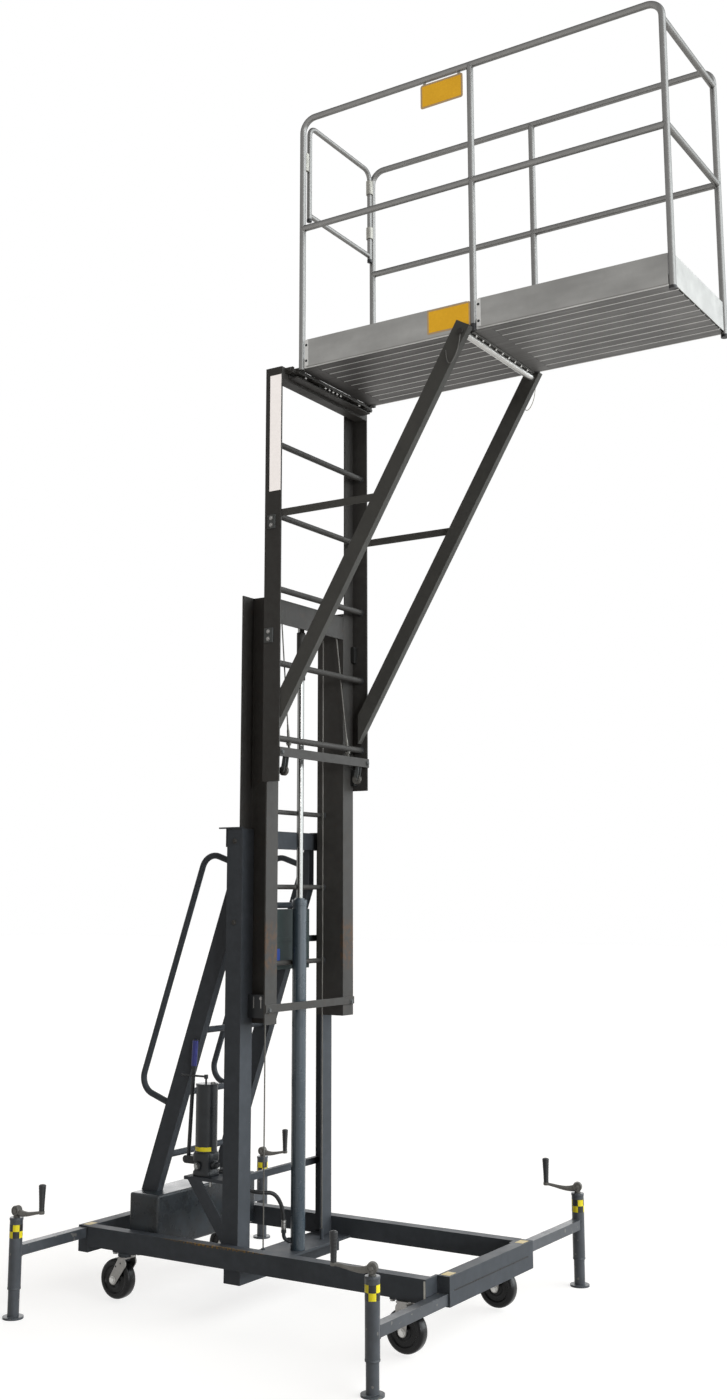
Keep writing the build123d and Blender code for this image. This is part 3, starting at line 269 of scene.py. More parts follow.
def turned(profile, start, direction, segments=32, closed=False):
    """Surface of revolution: start + a * axis + r * (cos t, sin t) for each (a, r) of the profile, in mm."""
    axis, first, second = across(direction)
    along, radius = np.array(profile, float).T[:, :, None, None] / 1000
    angle = np.linspace(0, 2 * math.pi, segments, endpoint=False)
    ring = np.cos(angle)[:, None] * first + np.sin(angle)[:, None] * second
    points = np.asarray(start) + along * axis + radius * ring
    return lattice(points, wrap_u=closed)


def tube(path, radius, up, segments=14, closed=False, lobes=0, lay=1.0):
    """Tube along a path: p(s) + r(t, s) * (cos t * side + sin t * over).
    With lobes, r shrinks between the strands: r * (0.84 + 0.16 |cos(lobes / 2 * (t - 2 pi s / lay))|)."""
    path = np.asarray(path, float)
    if closed:
        tangent = np.roll(path, -1, axis=0) - np.roll(path, 1, axis=0)
    else:
        tangent = np.gradient(path, axis=0)
    tangent /= np.linalg.norm(tangent, axis=1)[:, None]
    side = np.cross(np.broadcast_to(up, path.shape), tangent)
    side /= np.linalg.norm(side, axis=1)[:, None]
    over = np.cross(tangent, side)
    angle = np.linspace(0, 2 * math.pi, segments, endpoint=False)[None, :]
    width = np.broadcast_to(np.asarray(radius, float).reshape(-1, 1), (len(path), segments))
    if lobes:
        step = np.linalg.norm(np.diff(path, axis=0), axis=1)
        run = np.concatenate([[0], np.cumsum(step)])[:, None]
        width = width * (0.84 + 0.16 * np.abs(np.cos(lobes / 2 * (angle - 2 * math.pi * run / lay))))
    ring = np.cos(angle)[..., None] * side[:, None] + np.sin(angle)[..., None] * over[:, None]
    return lattice(path[:, None] + width[..., None] * ring, wrap_u=closed)


def bead(path, centre, radius):
    """Closed weld bead along a loop round a centre, with its section turned outwards."""
    path = np.asarray(path, float)
    return tube(path, radius, path - centre, segments=8, closed=True)


def ring_path(centre, axis, radius, count=28):
    """Circle c + r * (cos t, sin t) square to an axis; the radius is in mm."""
    _, first, second = across(axis)
    angle = np.linspace(0, 2 * math.pi, count, endpoint=False)[:, None]
    return np.asarray(centre) + radius / 1000 * (np.cos(angle) * first + np.sin(angle) * second)


def saddle_path(centre, branch, main, radius, count=40):
    """Line where a pipe meets an equal pipe at right angles: r (cos t * m + sin t * n + |cos t| * d)."""
    branch, main = np.array(branch, float), np.array(main, float)
    normal = np.cross(branch, main)
    angle = np.linspace(0, 2 * math.pi, count, endpoint=False)[:, None]
    shape = np.cos(angle) * main + np.sin(angle) * normal + np.abs(np.cos(angle)) * branch
    return np.asarray(centre) + radius / 1000 * shape


def prism(outline, start, first, second, run):
    """Solid of a closed outline of (a, b) in mm on two directions, carried along a run in mm."""
    outline = np.array(outline, float) / 1000
    first, second = np.array(first, float), np.array(second, float)
    base = np.asarray(start) + outline[:, :1] * first + outline[:, 1:] * second
    return lattice(np.stack([base, base + np.array(run, float) / 1000]))


def side_plate(outline, y, run):
    """Plate of an XZ outline in mm, from one Y and for a run along Y in mm."""
    return prism(outline, spot(0, y, 0), (1, 0, 0), (0, 0, 1), (0, run, 0))


def block(xs, ys, zs):
    """Box between two values in mm along each axis."""
    outline = [(xs[0], ys[0]), (xs[1], ys[0]), (xs[1], ys[1]), (xs[0], ys[1])]
    return prism(outline, spot(0, 0, zs[0]), (1, 0, 0), (0, 1, 0), (0, 0, zs[1] - zs[0]))


def two_sided(xs, ys, zs):
    """The same box on the near and on the far side of the mast's middle."""
    return [block(xs, sorted((side * ys[0], side * ys[1])), zs) for side in (-1, 1)]


def link_outline(low, high, low_radius, high_radius, count=18):
    """Outline of a flat link in mm: a half circle round each end, a - R (cos t * n + sin t * d) and
    b + R (cos t * n + sin t * d), with d along the link and n square to it."""
    low, high = np.array(low, float), np.array(high, float)
    along = (high - low) / np.linalg.norm(high - low)
    aside = np.array([along[1], -along[0]])
    turn = np.linspace(0, math.pi, count)[:, None]
    swing = np.cos(turn) * aside + np.sin(turn) * along
    return np.concatenate([low - low_radius * swing, high + high_radius * swing])


def crescent(centre, radius, depth, arc, count=16):
    """Outline of a crescent in mm round a centre: an inner arc of one radius and an outer arc of
    R + depth * sin(pi s), with s from 0 to 1 along the arc between two angles in degrees."""
    share = np.linspace(0, 1, count)
    turn = np.radians(arc[0] + (arc[1] - arc[0]) * share)
    ring = np.stack([np.cos(turn), np.sin(turn)], axis=-1)
    outer = (radius + 0.3 + depth * np.sin(math.pi * share))[:, None] * ring
    return np.array(centre) + np.concatenate([outer, radius * ring[::-1]])


def rounded_plate(xs, ys, zs, corner, count=7):
    """Plate in the XZ plane with round corners of a radius in mm: corner + R (cos t, sin t)."""
    parts = []
    for k, (x, z) in enumerate(((xs[1], zs[1]), (xs[0], zs[1]), (xs[0], zs[0]), (xs[1], zs[0]))):
        turn = np.linspace(0, math.pi / 2, count) + k * math.pi / 2
        inset = np.sign([x - sum(xs) / 2, z - sum(zs) / 2]) * corner
        parts.append(np.array([x, z]) - inset + corner * np.stack([np.cos(turn), np.sin(turn)], axis=-1))
    return side_plate(np.concatenate(parts), ys[0], ys[1] - ys[0])


def hex_head(position, direction, width=17.0, height=6.5):
    """Hexagon head with a chamfer, on a washer: two turned profiles, one of six sides."""
    radius = width / math.sqrt(3)
    brim = radius * 1.25
    washer = [(0, 0.4), (0, brim), (1.6, brim), (1.6, 0.4)]
    head = [(1.5, 0.4), (1.5, radius), (height - 1, radius), (height, radius * 0.86), (height, 0.4)]
    return [turned(washer, position, direction, 20), turned(head, position, direction, 6)]


def build(name, parts, looks, body, bevel=0.0, index=None, replaces=(), steps=2):
    """One mesh object of all the parts, with its normals outwards, its finishes and the body it rides on."""
    points, faces, offset = [], [], 0
    for part_points, part_faces in parts:
        points.append(part_points)
        faces += [[corner + offset for corner in face] for face in part_faces]
        offset += len(part_points)
    mesh = bpy.data.meshes.new(name)
    mesh.from_pydata(np.concatenate(points).tolist(), [], faces)
    shell = bmesh.new()
    shell.from_mesh(mesh)
    bmesh.ops.recalc_face_normals(shell, faces=shell.faces)
    shell.to_mesh(mesh)
    shell.free()
    for key in [looks] if isinstance(looks, str) else looks:
        mesh.materials.append(finishes()[key])
    if index is not None:
        mesh.polygons.foreach_set("material_index", index)
    mesh.shade_smooth()
    mesh.set_sharp_from_angle(angle=sharp_angle)
    made = bpy.data.objects.new(name, mesh)
    bpy.context.scene.collection.objects.link(made)
    if bevel:
        edge = made.modifiers.new("edge", "BEVEL")
        edge.width = bevel / 1000
        edge.segments = steps
        edge.limit_method = "ANGLE"
    if body:
        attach(made, body)
    if replaces:
        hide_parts(*replaces)
    return made


# Finishes


def add(tree, kind, inputs=None, **settings):
    """Node of a kind with its settings; an input is a value or the socket that it is linked from."""
    made = tree.nodes.new(kind)
    for key, value in settings.items():
        setattr(made, key, value)
    for key, value in (inputs or {}).items():
        if isinstance(value, bpy.types.NodeSocket):
            tree.links.new(value, made.inputs[key])
        else:
            made.inputs[key].default_value = value
    return made


def start_finish(name):
    """New material with its tree, its shader and its Object coordinates."""
    finish = bpy.data.materials.new(name)
    finish.use_nodes = True
    tree = finish.node_tree
    shader = next(n for n in tree.nodes if n.type == "BSDF_PRINCIPLED")
    place = add(tree, "ShaderNodeTexCoord").outputs["Object"]
    return finish, tree, shader, place


def rgba(value):
    return (*value, 1.0)


def noise(tree, place, size, detail, **more):
    """Noise whose pattern is about so many millimetres across."""
    inputs = {"Vector": place, "Scale": per_mm(size), "Detail": detail, **more}
    return add(tree, "ShaderNodeTexNoise", inputs).outputs["Fac"]


def ramp(tree, value, low, high, start=0.0, end=1.0):
    """Value taken from the span low to high over to the span start to end, and held at its ends."""
    inputs = {"Value": value, "From Min": low, "From Max": high, "To Min": start, "To Max": end}
    return add(tree, "ShaderNodeMapRange", inputs).outputs[0]


def times(tree, first, second, clamp=False):
    """Product of two values."""
    inputs = {0: first, 1: second}
    return add(tree, "ShaderNodeMath", inputs, operation="MULTIPLY", use_clamp=clamp).outputs[0]


def mixed(tree, factor, first, second):
    """Colour that goes from the first to the second with the factor."""
    inputs = {"Factor": factor, "A": first, "B": second}
    return add(tree, "ShaderNodeMix", inputs, data_type="RGBA").outputs["Result"]


def rounded_normal(tree, radius):
    """Normal that turns smoothly over edges of a radius in metres."""
    return add(tree, "ShaderNodeBevel", {"Radius": radius}, samples=4).outputs[0]


def cover(tree, shader, tone, gloss):
    """Link a colour and a roughness to the shader."""
    tree.links.new(tone, shader.inputs["Base Color"])
    tree.links.new(gloss, shader.inputs["Roughness"])


def emboss(tree, shader, height, strength, depth, normal=None):
    """Bump of a depth in metres, on a normal where one is given."""
    inputs = {"Height": height, "Strength": strength, "Distance": depth}
    if normal is not None:
        inputs["Normal"] = normal
    tree.links.new(add(tree, "ShaderNodeBump", inputs).outputs[0], shader.inputs["Normal"])


def enamel(name, base, dust_and_sheen, rust=0.0, roughness=0.48, specular=0.1, dust_and_sheen_amount=0.6, peel=0.06, scuffed=None,
           nicks=0.0):
    """Alkyd enamel sprayed on rolled steel: a half-matt dark coat with an orange-peel skin, patches of dust,
    steel showing at worn edges and, where asked, rust stains, nicks or a place scuffed down to what is under
    it. On the glossy enamel of the counterweight the patches are a painted bluish sheen instead of dust."""
    finish, tree, shader, place = start_finish(name)
    bare_steel = rgba(colours().bare_steel)
    # Patches about a hand wide, broken up by clouds about 40 mm across: dust on most enamels, a painted
    # bluish sheen on the glossy one.
    hand = noise(tree, place, 160, 6.0, Roughness=0.62)
    cloud = noise(tree, place, 38, 5.0)
    dust_and_sheen_mask = ramp(tree, times(tree, hand, cloud), 0.16, 0.42, end=dust_and_sheen_amount)
    tone = mixed(tree, dust_and_sheen_mask, rgba(base), rgba(dust_and_sheen))
    if rust:
        # Rust in specks and stains about 30 mm across.
        specks = noise(tree, place, 34, 8.0, Roughness=0.7)
        tone = mixed(tree, ramp(tree, specks, 0.56, 0.72, end=rust), tone, rgba(colours().rust))
    if scuffed:
        # A long scuff: full in the middle of an ellipsoid, gone at its skin, broken up by chips.
        middle, half, under, chip_mm, amount = scuffed
        inputs = {"Vector": place, "Scale": [1 / h for h in half],
                  "Location": [-m / h for m, h in zip(middle, half)]}
        within = add(tree, "ShaderNodeMapping", inputs).outputs[0]
        ball = add(tree, "ShaderNodeTexGradient", {"Vector": within}, gradient_type="SPHERICAL")
        broken = ramp(tree, noise(tree, place, chip_mm, 5.0), 0.4, 0.64, end=amount)
        bare = times(tree, ball.outputs["Fac"], 3.0, clamp=True)
        tone = mixed(tree, times(tree, bare, broken), tone, rgba(under))
    if nicks:
        # A few nicks down to bare steel, some millimetres across.
        nick = ramp(tree, noise(tree, place, 26, 1.0), 0.7, 0.72, end=nicks)
        tone = mixed(tree, nick, tone, bare_steel)
    # Worn edges: where a rounded normal turns away from the face's own.
    soft = rounded_normal(tree, sizes().edge_radius)
    face = add(tree, "ShaderNodeNewGeometry").outputs["Normal"]
    turn = add(tree, "ShaderNodeVectorMath", {0: soft, 1: face}, operation="DOT_PRODUCT").outputs["Value"]
    edge = ramp(tree, turn, 0.985, 0.9, end=0.55)
    worn = ramp(tree, noise(tree, place, 14, 5.0), 0.42, 0.66)
    tone = mixed(tree, times(tree, edge, worn), tone, bare_steel)
    cover(tree, shader, tone, ramp(tree, hand, 0.3, 0.7, roughness - 0.07, roughness + 0.12))
    shader.inputs["Specular IOR Level"].default_value = specular
    # Orange peel about 4 mm across, drawn a little coarse so that it shows.
    emboss(tree, shader, noise(tree, place, 4, 2.0), peel, 0.0006, soft)
    return finish


def metal(name, base, roughness, grain=(1.0, 1.0, 1.0), grain_mm=3.0, stain_mm=70.0, stain=0.25,
          strength=0.08, rim=1.0, soft_edges=True, vary=0.17, painted_top_shade=0.0):
    """Bare or plated metal: drawn or rolled grain along one way, dull stains, edges rounded a little and,
    where asked, painted shade: a darker grey on the sides that face up, as if they reflected a dark ceiling."""
    finish, tree, shader, place = start_finish(name)
    cloud = noise(tree, place, stain_mm, 6.0, Roughness=0.6)
    way = add(tree, "ShaderNodeMapping", {"Vector": place, "Scale": grain}).outputs[0]
    lines = noise(tree, way, grain_mm, 3.0)
    both = times(tree, cloud, lines)
    dark = tuple(0.45 * c for c in base)
    tone = mixed(tree, ramp(tree, both, 0.12, 0.42, stain, 0.0), rgba(base), rgba(dark))
    # Painted shade: sides that face up turn towards the darker grey, standing in for a dark ceiling's
    # reflection; sides that face down keep the base colour.
    if painted_top_shade:
        facing = add(tree, "ShaderNodeTexCoord").outputs["Normal"]
        upward = add(tree, "ShaderNodeSeparateXYZ", {"Vector": facing}).outputs["Z"]
        tone = mixed(tree, ramp(tree, upward, -0.35, 0.5, end=painted_top_shade), tone, rgba(dark))
    cover(tree, shader, tone, ramp(tree, both, 0.1, 0.45, roughness + 0.7 * vary, roughness - 0.3 * vary))
    shader.inputs["Metallic"].default_value = 1.0
    shader.inputs["Specular Tint"].default_value = (rim, rim, rim, 1.0)
    soft = rounded_normal(tree, 0.5 * sizes().edge_radius) if soft_edges else None
    emboss(tree, shader, lines, strength, 0.0004, soft)
    return finish


def moulded(name, base, roughness, grit_mm=1.6, strength=0.1, specular=0.4, scuffs=0.5):
    """Rubber, vinyl or plastic: one colour with slight scuffs and a fine moulded grain."""
    finish, tree, shader, place = start_finish(name)
    scuff = noise(tree, place, 26, 7.0, Roughness=0.66)
    pale = tuple(min(1.0, 1.6 * c + 0.012) for c in base)
    tone = mixed(tree, ramp(tree, scuff, 0.52, 0.75, end=scuffs), rgba(base), rgba(pale))
    cover(tree, shader, tone, ramp(tree, scuff, 0.3, 0.7, roughness - 0.06, roughness + 0.14))
    shader.inputs["Specular IOR Level"].default_value = specular
    emboss(tree, shader, noise(tree, place, grit_mm, 2.0), strength, 0.0003)
    return finish


finish_table = {}


def finishes():
    """The lift's finishes, made once."""
    if finish_table:
        return finish_table
    c = colours()
    film = {"strength": 0.03, "scuffs": 0.12}
    reflecting = {"grain_mm": 8.0, "strength": 0.02, "vary": 0.08}
    underside = {"grain": (0.02, 1.0, 1.0), "grain_mm": 12.0, "stain_mm": 260.0, "stain": 0.6,
                 "strength": 0.03, "vary": 0.1}
    rail_scuff = (spot(-190, -375.8, 269.6), (0.26, 0.016, 0.009), c.primer, 9.0, 1.0)
    mast_scuff = (spot(0, 0, 1385), (0.02, 0.9, 0.12), c.rust, 24.0, 0.4)
    finish_table.update({
        "enamel": enamel("charcoal_enamel", c.paint, c.paint_dust),
        "arm_enamel": enamel("charcoal_enamel_nicked", c.paint, c.paint_dust, roughness=0.36, specular=0.3,
                             dust_and_sheen_amount=0.9, nicks=0.9),
        "rail_enamel": enamel("charcoal_enamel_scuffed", c.paint, c.paint_dust, scuffed=rail_scuff),
        "mast_enamel": enamel("neutral_charcoal_enamel", c.mast_paint, c.mast_dust),
        "strut_enamel": enamel("grey_charcoal_enamel", c.strut_paint, c.mast_dust),
        "rusty_enamel": enamel("charcoal_enamel_rusting", c.mast_paint, c.mast_dust, rust=0.12,
                               scuffed=mast_scuff),
        # The glossy enamel's patches take the cylinder's blue grey: painted sheen, standing in for the
        # counterweight's bluish reflections.
        "glossy_enamel": enamel("glossy_charcoal_enamel", c.pump, c.cylinder, roughness=0.26, specular=0.3,
                                dust_and_sheen_amount=0.4, peel=0.02),
        "clip_enamel": enamel("pale_charcoal_enamel", c.clip, c.mast_dust, dust_and_sheen_amount=0.3),
        "cylinder": enamel("blue_grey_enamel", c.cylinder, c.paint_dust, roughness=0.24, specular=0.55,
                           dust_and_sheen_amount=0.12, peel=0.0),
        "box_enamel": enamel("green_grey_enamel", c.box, c.paint_dust, dust_and_sheen_amount=0.25),
        "pump_enamel": enamel("black_grey_enamel", c.pump, c.paint, roughness=0.3, specular=0.25,
                              dust_and_sheen_amount=0.3),
        # The pipes' upper sides carry painted shade.
        "pipe": metal("mill_aluminium_pipe", c.aluminium, 0.45, grain_mm=26.0, stain_mm=160.0, stain=0.18,
                      strength=0.0, rim=0.35, soft_edges=False, vary=0.03, painted_top_shade=0.8),
        "galvanised": metal("galvanised_steel", c.galvanised, 0.42, grain_mm=16.0, stain_mm=50.0, stain=0.2,
                            strength=0.02, vary=0.06),
        "passivated": metal("yellow_passivated_zinc", c.passivated, 0.4, grain_mm=5.0, stain_mm=16.0,
                            stain=0.3),
        # The liners' colours are painted shade between the ribs.
        "liner": metal("underside_painted_shade", c.liner, 0.46, **underside),
        "grimy_liner": metal("underside_deeper_painted_shade", c.deeper_liner_shade, 0.46, **underside),
        "backing": metal("bronze_lacquer", c.backing, 0.45, grain_mm=8.0, stain_mm=40.0, stain=0.12,
                         vary=0.08),
        "straw": moulded("straw_film", c.straw, 0.4, **film),
        # The planks' upper sides carry painted shade.
        "plank": metal("extruded_aluminium", c.deck, 0.44, grain=(0.04, 1.0, 1.0), grain_mm=5.0,
                       stain_mm=140.0, stain=0.4, rim=0.4, painted_top_shade=0.6),
        "board": metal("sheet_aluminium", c.board, 0.42, grain=(0.25, 1.0, 1.0), grain_mm=70.0,
                       stain_mm=230.0, stain=0.5, strength=0.01, vary=0.1),
        "fitting": metal("dull_galvanising", c.fitting, 0.55, grain_mm=6.0, stain_mm=16.0, stain=0.3),
        "amber": metal("amber_reflecting_film", c.amber, 0.5, stain_mm=60.0, stain=0.12, **reflecting),
        "pale_film": metal("pale_reflecting_film", c.pale_film, 0.5, stain_mm=90.0, stain=0.06, **reflecting),
        "blue_film": moulded("blue_film", c.blue_film, 0.4, **film),
        "chrome": metal("hard_chrome", c.chrome, 0.22, grain_mm=30.0, stain_mm=120.0, stain=0.05,
                        strength=0.0, rim=0.2, soft_edges=False, vary=0.02),
        "zinc": metal("zinc_plate", c.zinc, 0.36, grain_mm=4.0, stain_mm=25.0, stain=0.35),
        "casting": metal("sand_casting", c.casting, 0.5, grain_mm=2.5, stain_mm=18.0, stain=0.5,
                         strength=0.3),
        "rope": metal("wire_rope", c.rope, 0.42, grain_mm=2.0, stain_mm=60.0, stain=0.45),
        "rubber": moulded("hose_rubber", c.rubber, 0.5),
        "grip": moulded("moulded_grip", c.rubber, 0.42, grit_mm=2.0),
        "tread": moulded("moulded_wheel", c.tread, 0.26, strength=0.03, specular=0.24, scuffs=0.3),
        "pad": moulded("slide_pad", c.pad, 0.5),
        "yellow": moulded("yellow_film", c.yellow, 0.4, **film),
        "black_film": moulded("black_film", c.black_film, 0.4, **film),
        "blue_grip": moulded("dipped_vinyl", c.blue_grip, 0.38),
        "cord_light": moulded("coated_wire_light", c.cord_light, 0.45),
        "cord_dark": moulded("coated_wire_dark", c.cord_dark, 0.45),
    })
    return finish_table


node_finishes = {
    "rail_enamel": ["base_rails"],
    "arm_enamel": [corner + kind for corner in corners for kind in ("_arm", "_leg")],
    "mast_enamel": ["ladder_rails", "ladder_rungs", "platform_hinge", "near_platform_pin"],
    "strut_enamel": ["platform_struts"],
    "rusty_enamel": ["middle_mast"],
    "cylinder": ["cylinder_barrel"],
    "box_enamel": ["document_box"],
    "pump_enamel": ["pump_reservoir", "pump_lever", "release_lever"],
    "pipe": ["guard_rails", "gate_frame"],
    "plank": ["deck"],
    "board": ["toe_boards"],
    "fitting": ["gate_fittings"],
    "chrome": ["piston_rod"],
    "zinc": ["frame_bolts"],
    "galvanised": ["cross_pipe"],
    "passivated": ["far_platform_pin"],
    "pad": ["outer_mast_pads", "middle_mast_pads", "ladder_pads", "lift_sheaves"],
    "grip": ["post_caps"],
}


def seen_rays(tree):
    """Socket that is 1 for rays of the camera, of reflections and through glass, and 0 for light."""
    path = add(tree, "ShaderNodeLightPath")
    seen = add(tree, "ShaderNodeMath", {0: path.outputs["Is Camera Ray"], 1: path.outputs["Is Glossy Ray"]},
               operation="MAXIMUM")
    return add(tree, "ShaderNodeMath", {0: seen.outputs[0], 1: path.outputs["Is Transmission Ray"]},
               operation="MAXIMUM").outputs[0]


class LIFT_OT_stage(Operator):
    """Floor, light and the photograph's camera"""
    bl_idname = "lift.stage"
    bl_label = "Stage"

    def execute(self, context):
        scene = context.scene
        scene.view_settings.view_transform = "Standard"
        span = (-floor_half, floor_half)
        grid = np.array([[(x, y, 0) for y in span] for x in span], float)
        points, faces = lattice(grid, wrap_v=False, caps=False)
        mesh = bpy.data.meshes.new("floor")
        mesh.from_pydata(points.tolist(), [], [face[::-1] for face in faces])
        floor = bpy.data.objects.new("floor", mesh)
        scene.collection.objects.link(floor)
        finish, tree, shader, _ = start_finish("pale_floor")
        shader.inputs["Base Color"].default_value = rgba(colours().floor)
        shader.inputs["Roughness"].default_value = 0.9
        shader.inputs["Specular IOR Level"].default_value = 0.0
        # The camera and the metal see the floor as white as the world behind it, less the shadow.
        shader.inputs["Emission Color"].default_value = white
        tree.links.new(times(tree, seen_rays(tree), floor_glow), shader.inputs["Emission Strength"])
        mesh.materials.append(finish)

        world = bpy.data.worlds.new("studio")
        scene.world = world
        world.use_nodes = True
        tree = world.node_tree
        tree.nodes.clear()
        shown = seen_rays(tree)
        inputs = {"Color": mixed(tree, shown, sky_tint, white),
                  "Strength": ramp(tree, shown, 0.0, 1.0, sky_light, 1.0)}
        sky = add(tree, "ShaderNodeBackground", inputs)
        add(tree, "ShaderNodeOutputWorld", {"Surface": sky.outputs[0]})

        for name, strength, spread, tint, way in lamps:
            lamp = bpy.data.lights.new(name, "SUN")
            lamp.energy = strength
            lamp.angle = math.radians(spread)
            lamp.color = tint
            held = bpy.data.objects.new(name, lamp)
            held.rotation_mode = "QUATERNION"
            held.rotation_quaternion = Vector(way).to_track_quat("Z", "Y")
            scene.collection.objects.link(held)

        camera = bpy.data.cameras.new("photo")
        camera.sensor_width = 36.0
        camera.lens = 38.12
        camera.shift_x = 0.0112
        camera.shift_y = -0.0474
        camera.clip_end = 200.0
        eye = bpy.data.objects.new("photo", camera)
        eye.location = spot(3467.6, -5120.5, 1587.8)
        eye.rotation_mode = "QUATERNION"
        eye.rotation_quaternion = Vector((-0.5323, 0.8286, 0.1736)).to_track_quat("-Z", "Y")
        scene.collection.objects.link(eye)
        scene.camera = eye
        return {"FINISHED"}


def smooth_line(name, points, steps=16):
    """Curve whose one NURBS spline has the route's points, in mm, as its control points."""
    line = bpy.data.curves.new(name, "CURVE")
    line.dimensions = "3D"
    line.resolution_u = steps
    spline = line.splines.new("NURBS")
    spline.points.add(len(points) - 1)
    places = np.array([[*spot(*point), 1.0] for point in points])
    spline.points.foreach_set("co", places.ravel())
    spline.order_u = 3
    spline.use_endpoint_u = True
    return line


def line_points(line):
    """Points read from a curve without a bevel, and the length of the line through them."""
    holder = bpy.data.objects.new("line", line)
    bpy.context.scene.collection.objects.link(holder)
    mesh = bpy.data.meshes.new_from_object(holder)
    points = np.empty(len(mesh.vertices) * 3)
    mesh.vertices.foreach_get("co", points)
    points = points.reshape(-1, 3)
    bpy.data.objects.remove(holder)
    bpy.data.meshes.remove(mesh)
    return points, float(np.linalg.norm(np.diff(points, axis=0), axis=1).sum())


class LIFT_OT_hose(Operator):
    """Hydraulic hose from the pump to the cylinder, with its crimped ends"""
    bl_idname = "lift.hose"
    bl_label = "Hose"

    def execute(self, context):
        line = smooth_line("hydraulic_hose_line", hose_route)
        points, length = line_points(line)
        line.bevel_depth = sizes().hose_diameter / 2
        line.bevel_resolution = 8
        line.use_fill_caps = True
        line.materials.append(finishes()["rubber"])
        hose = bpy.data.objects.new("pressure_hose", line)
        context.scene.collection.objects.link(hose)
        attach(hose, "base")
        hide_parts("hydraulic_hose")
        crimp = [(0, 5), (0, 9.5), (3, 10), (10, 10), (11, 9.2), (13, 9.2), (14, 10), (21, 10), (22, 9.2),
                 (24, 9.2), (25, 10), (34, 10), (36, 8.6), (36, 5)]
        nut = [(0, 3), (0, 10.5), (11, 10.5), (12, 9.5), (12, 3)]
        thin_nut = [(0, 3), (0, 10.5), (10, 10.5), (11, 9.5), (11, 3)]
        wide_nut = [(0, 3), (0, 11), (12, 11), (13, 10), (13, 3)]
        foot = spot(*hose_route[-1])
        parts = [turned(crimp, foot + (0, 0, 0.012), (0, 0, -1), 28)]
        bends = [turned(nut, foot - (0, 0, 0.024), (0, 0, -1), 6)]
        # The bent tube goes down from the nut and turns into the cylinder: a quarter circle of 22 mm radius.
        barrel_radius, drop, radius = 0.028, 0.065, 0.022
        inward = (spot(cylinder_x, 0.0, 0.0) - foot) * (1, 1, 0)
        reach = np.linalg.norm(inward) - barrel_radius
        inward = inward / np.linalg.norm(inward)
        under = foot - (0, 0, drop)
        bend = np.linspace(0, math.pi / 2, 12)[:, None]
        sweep = (1 - np.cos(bend)) * inward - np.sin(bend) * np.array([0, 0, 1.0])
        arc = under + (0, 0, radius) + radius * sweep
        path = np.concatenate([[foot - (0, 0, 0.034)], arc, [under + reach * inward]])
        bends.append(tube(path, 0.0075, np.cross(inward, (0, 0, 1)), 18))
        bends.append(turned(wide_nut, path[-1] - 0.014 * inward, inward, 6))
        build("hose_elbow", bends, "pump_enamel", "base")
        start, after = spot(*hose_route[0]), spot(*hose_route[1])
        back = (start - after) / np.linalg.norm(start - after)
        parts.append(turned(crimp[:10], start - 0.008 * back, back, 28))
        parts.append(turned(thin_nut, start + 0.014 * back, back, 6))
        build("hose_ends", parts, "zinc", "base", replaces=["hose_fittings"])
        return {"FINISHED"}


class LIFT_OT_lanyards(Operator):
    """Coated wires that hold the platform pins"""
    bl_idname = "lift.lanyards"
    bl_label = "Lanyards"

    def execute(self, context):
        for side, label, finish in ((-1, "near", "cord_dark"), (1, "far", "cord_light")):
            route = [(pin_head[0] + x, side * (pin_head[1] + y), pin_head[2] + z)
                     for x, y, z in lanyard_route]
            route.append((lanyard_end[0], side * lanyard_end[1], lanyard_end[2]))
            points, length = line_points(smooth_line(label + "_lanyard_line", route))
            shape = tube(points, sizes().lanyard_diameter / 2, (0, 1, 0), 10)
            wire = build(label + "_lanyard", [shape], finish, None,
                         replaces=["pin_lanyards"])
            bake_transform(wire)
        return {"FINISHED"}


class LIFT_OT_ropes(Operator):
    """Lift ropes of six strands, with their half turn over the sheaves"""
    bl_idname = "lift.ropes"
    bl_label = "Lift ropes"

    def execute(self, context):
        lead = 6 * sizes().rope_diameter * 1000
        front, rear = front_rope_x, sheave_x - sheave_radius
        # The half turn's points stand on a polygon of 16 sides round the sheave, so the spline touches it.
        corner = math.radians(11.25) + np.arange(8) * math.pi / 8
        outer = sheave_radius / math.cos(math.pi / 16)
        for side, label in ((-1, "near"), (1, "far")):
            y = side * rope_y
            low_run = [(rear, y, rope_anchor_z), (rear, y, rope_anchor_z + lead), (rear, y, sheave_z - lead),
                       (rear, y, sheave_z)]
            stud = np.array([rope_stud_end[0], side * rope_stud_end[1], rope_stud_end[2]])
            tip = np.array([front, y, sheave_z])
            pull = lead * (tip - stud) / np.linalg.norm(tip - stud)
            high_run = [stud, stud + pull, tip - pull, tip]
            over = [(sheave_x + outer * math.cos(a), y, sheave_z + outer * math.sin(a)) for a in corner]
            turn = [(front, y, sheave_z), *over, (rear, y, sheave_z)]
            for name, route, steps, up, node, bodies in (
                    ("lower_rope", low_run, 220, (1, 0, 0), "lower_lift_ropes", ("base", "middle_stage")),
                    ("upper_rope", high_run, 60, (1, 0, 0), "upper_lift_ropes",
                     ("ladder_stage", "middle_stage")),
                    ("rope_turn", turn, 6, (0, 1, 0), None, None)):
                points, _ = line_points(smooth_line(label + "_" + name + "_line", route, steps))
                shape = tube(points, sizes().rope_diameter / 2, up, 24, lobes=6, lay=sizes().rope_lay)
                body = None if bodies else "middle_stage"
                rope = build(label + "_" + name, [shape], "rope", body,
                             replaces=[node] if node else [])
                if bodies:
                    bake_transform(rope)
        return {"FINISHED"}


class LIFT_OT_finishes(Operator):
    """Finishes of the pieces that keep their solid shape"""
    bl_idname = "lift.finishes"
    bl_label = "Finishes"

    def execute(self, context):
        chosen = {node: key for key, group in node_finishes.items() for node in group}
        for name, piece in nodes.items():
            piece.data.materials.clear()
            piece.data.materials.append(finishes()[chosen.get(name, "enamel")])
        return {"FINISHED"}


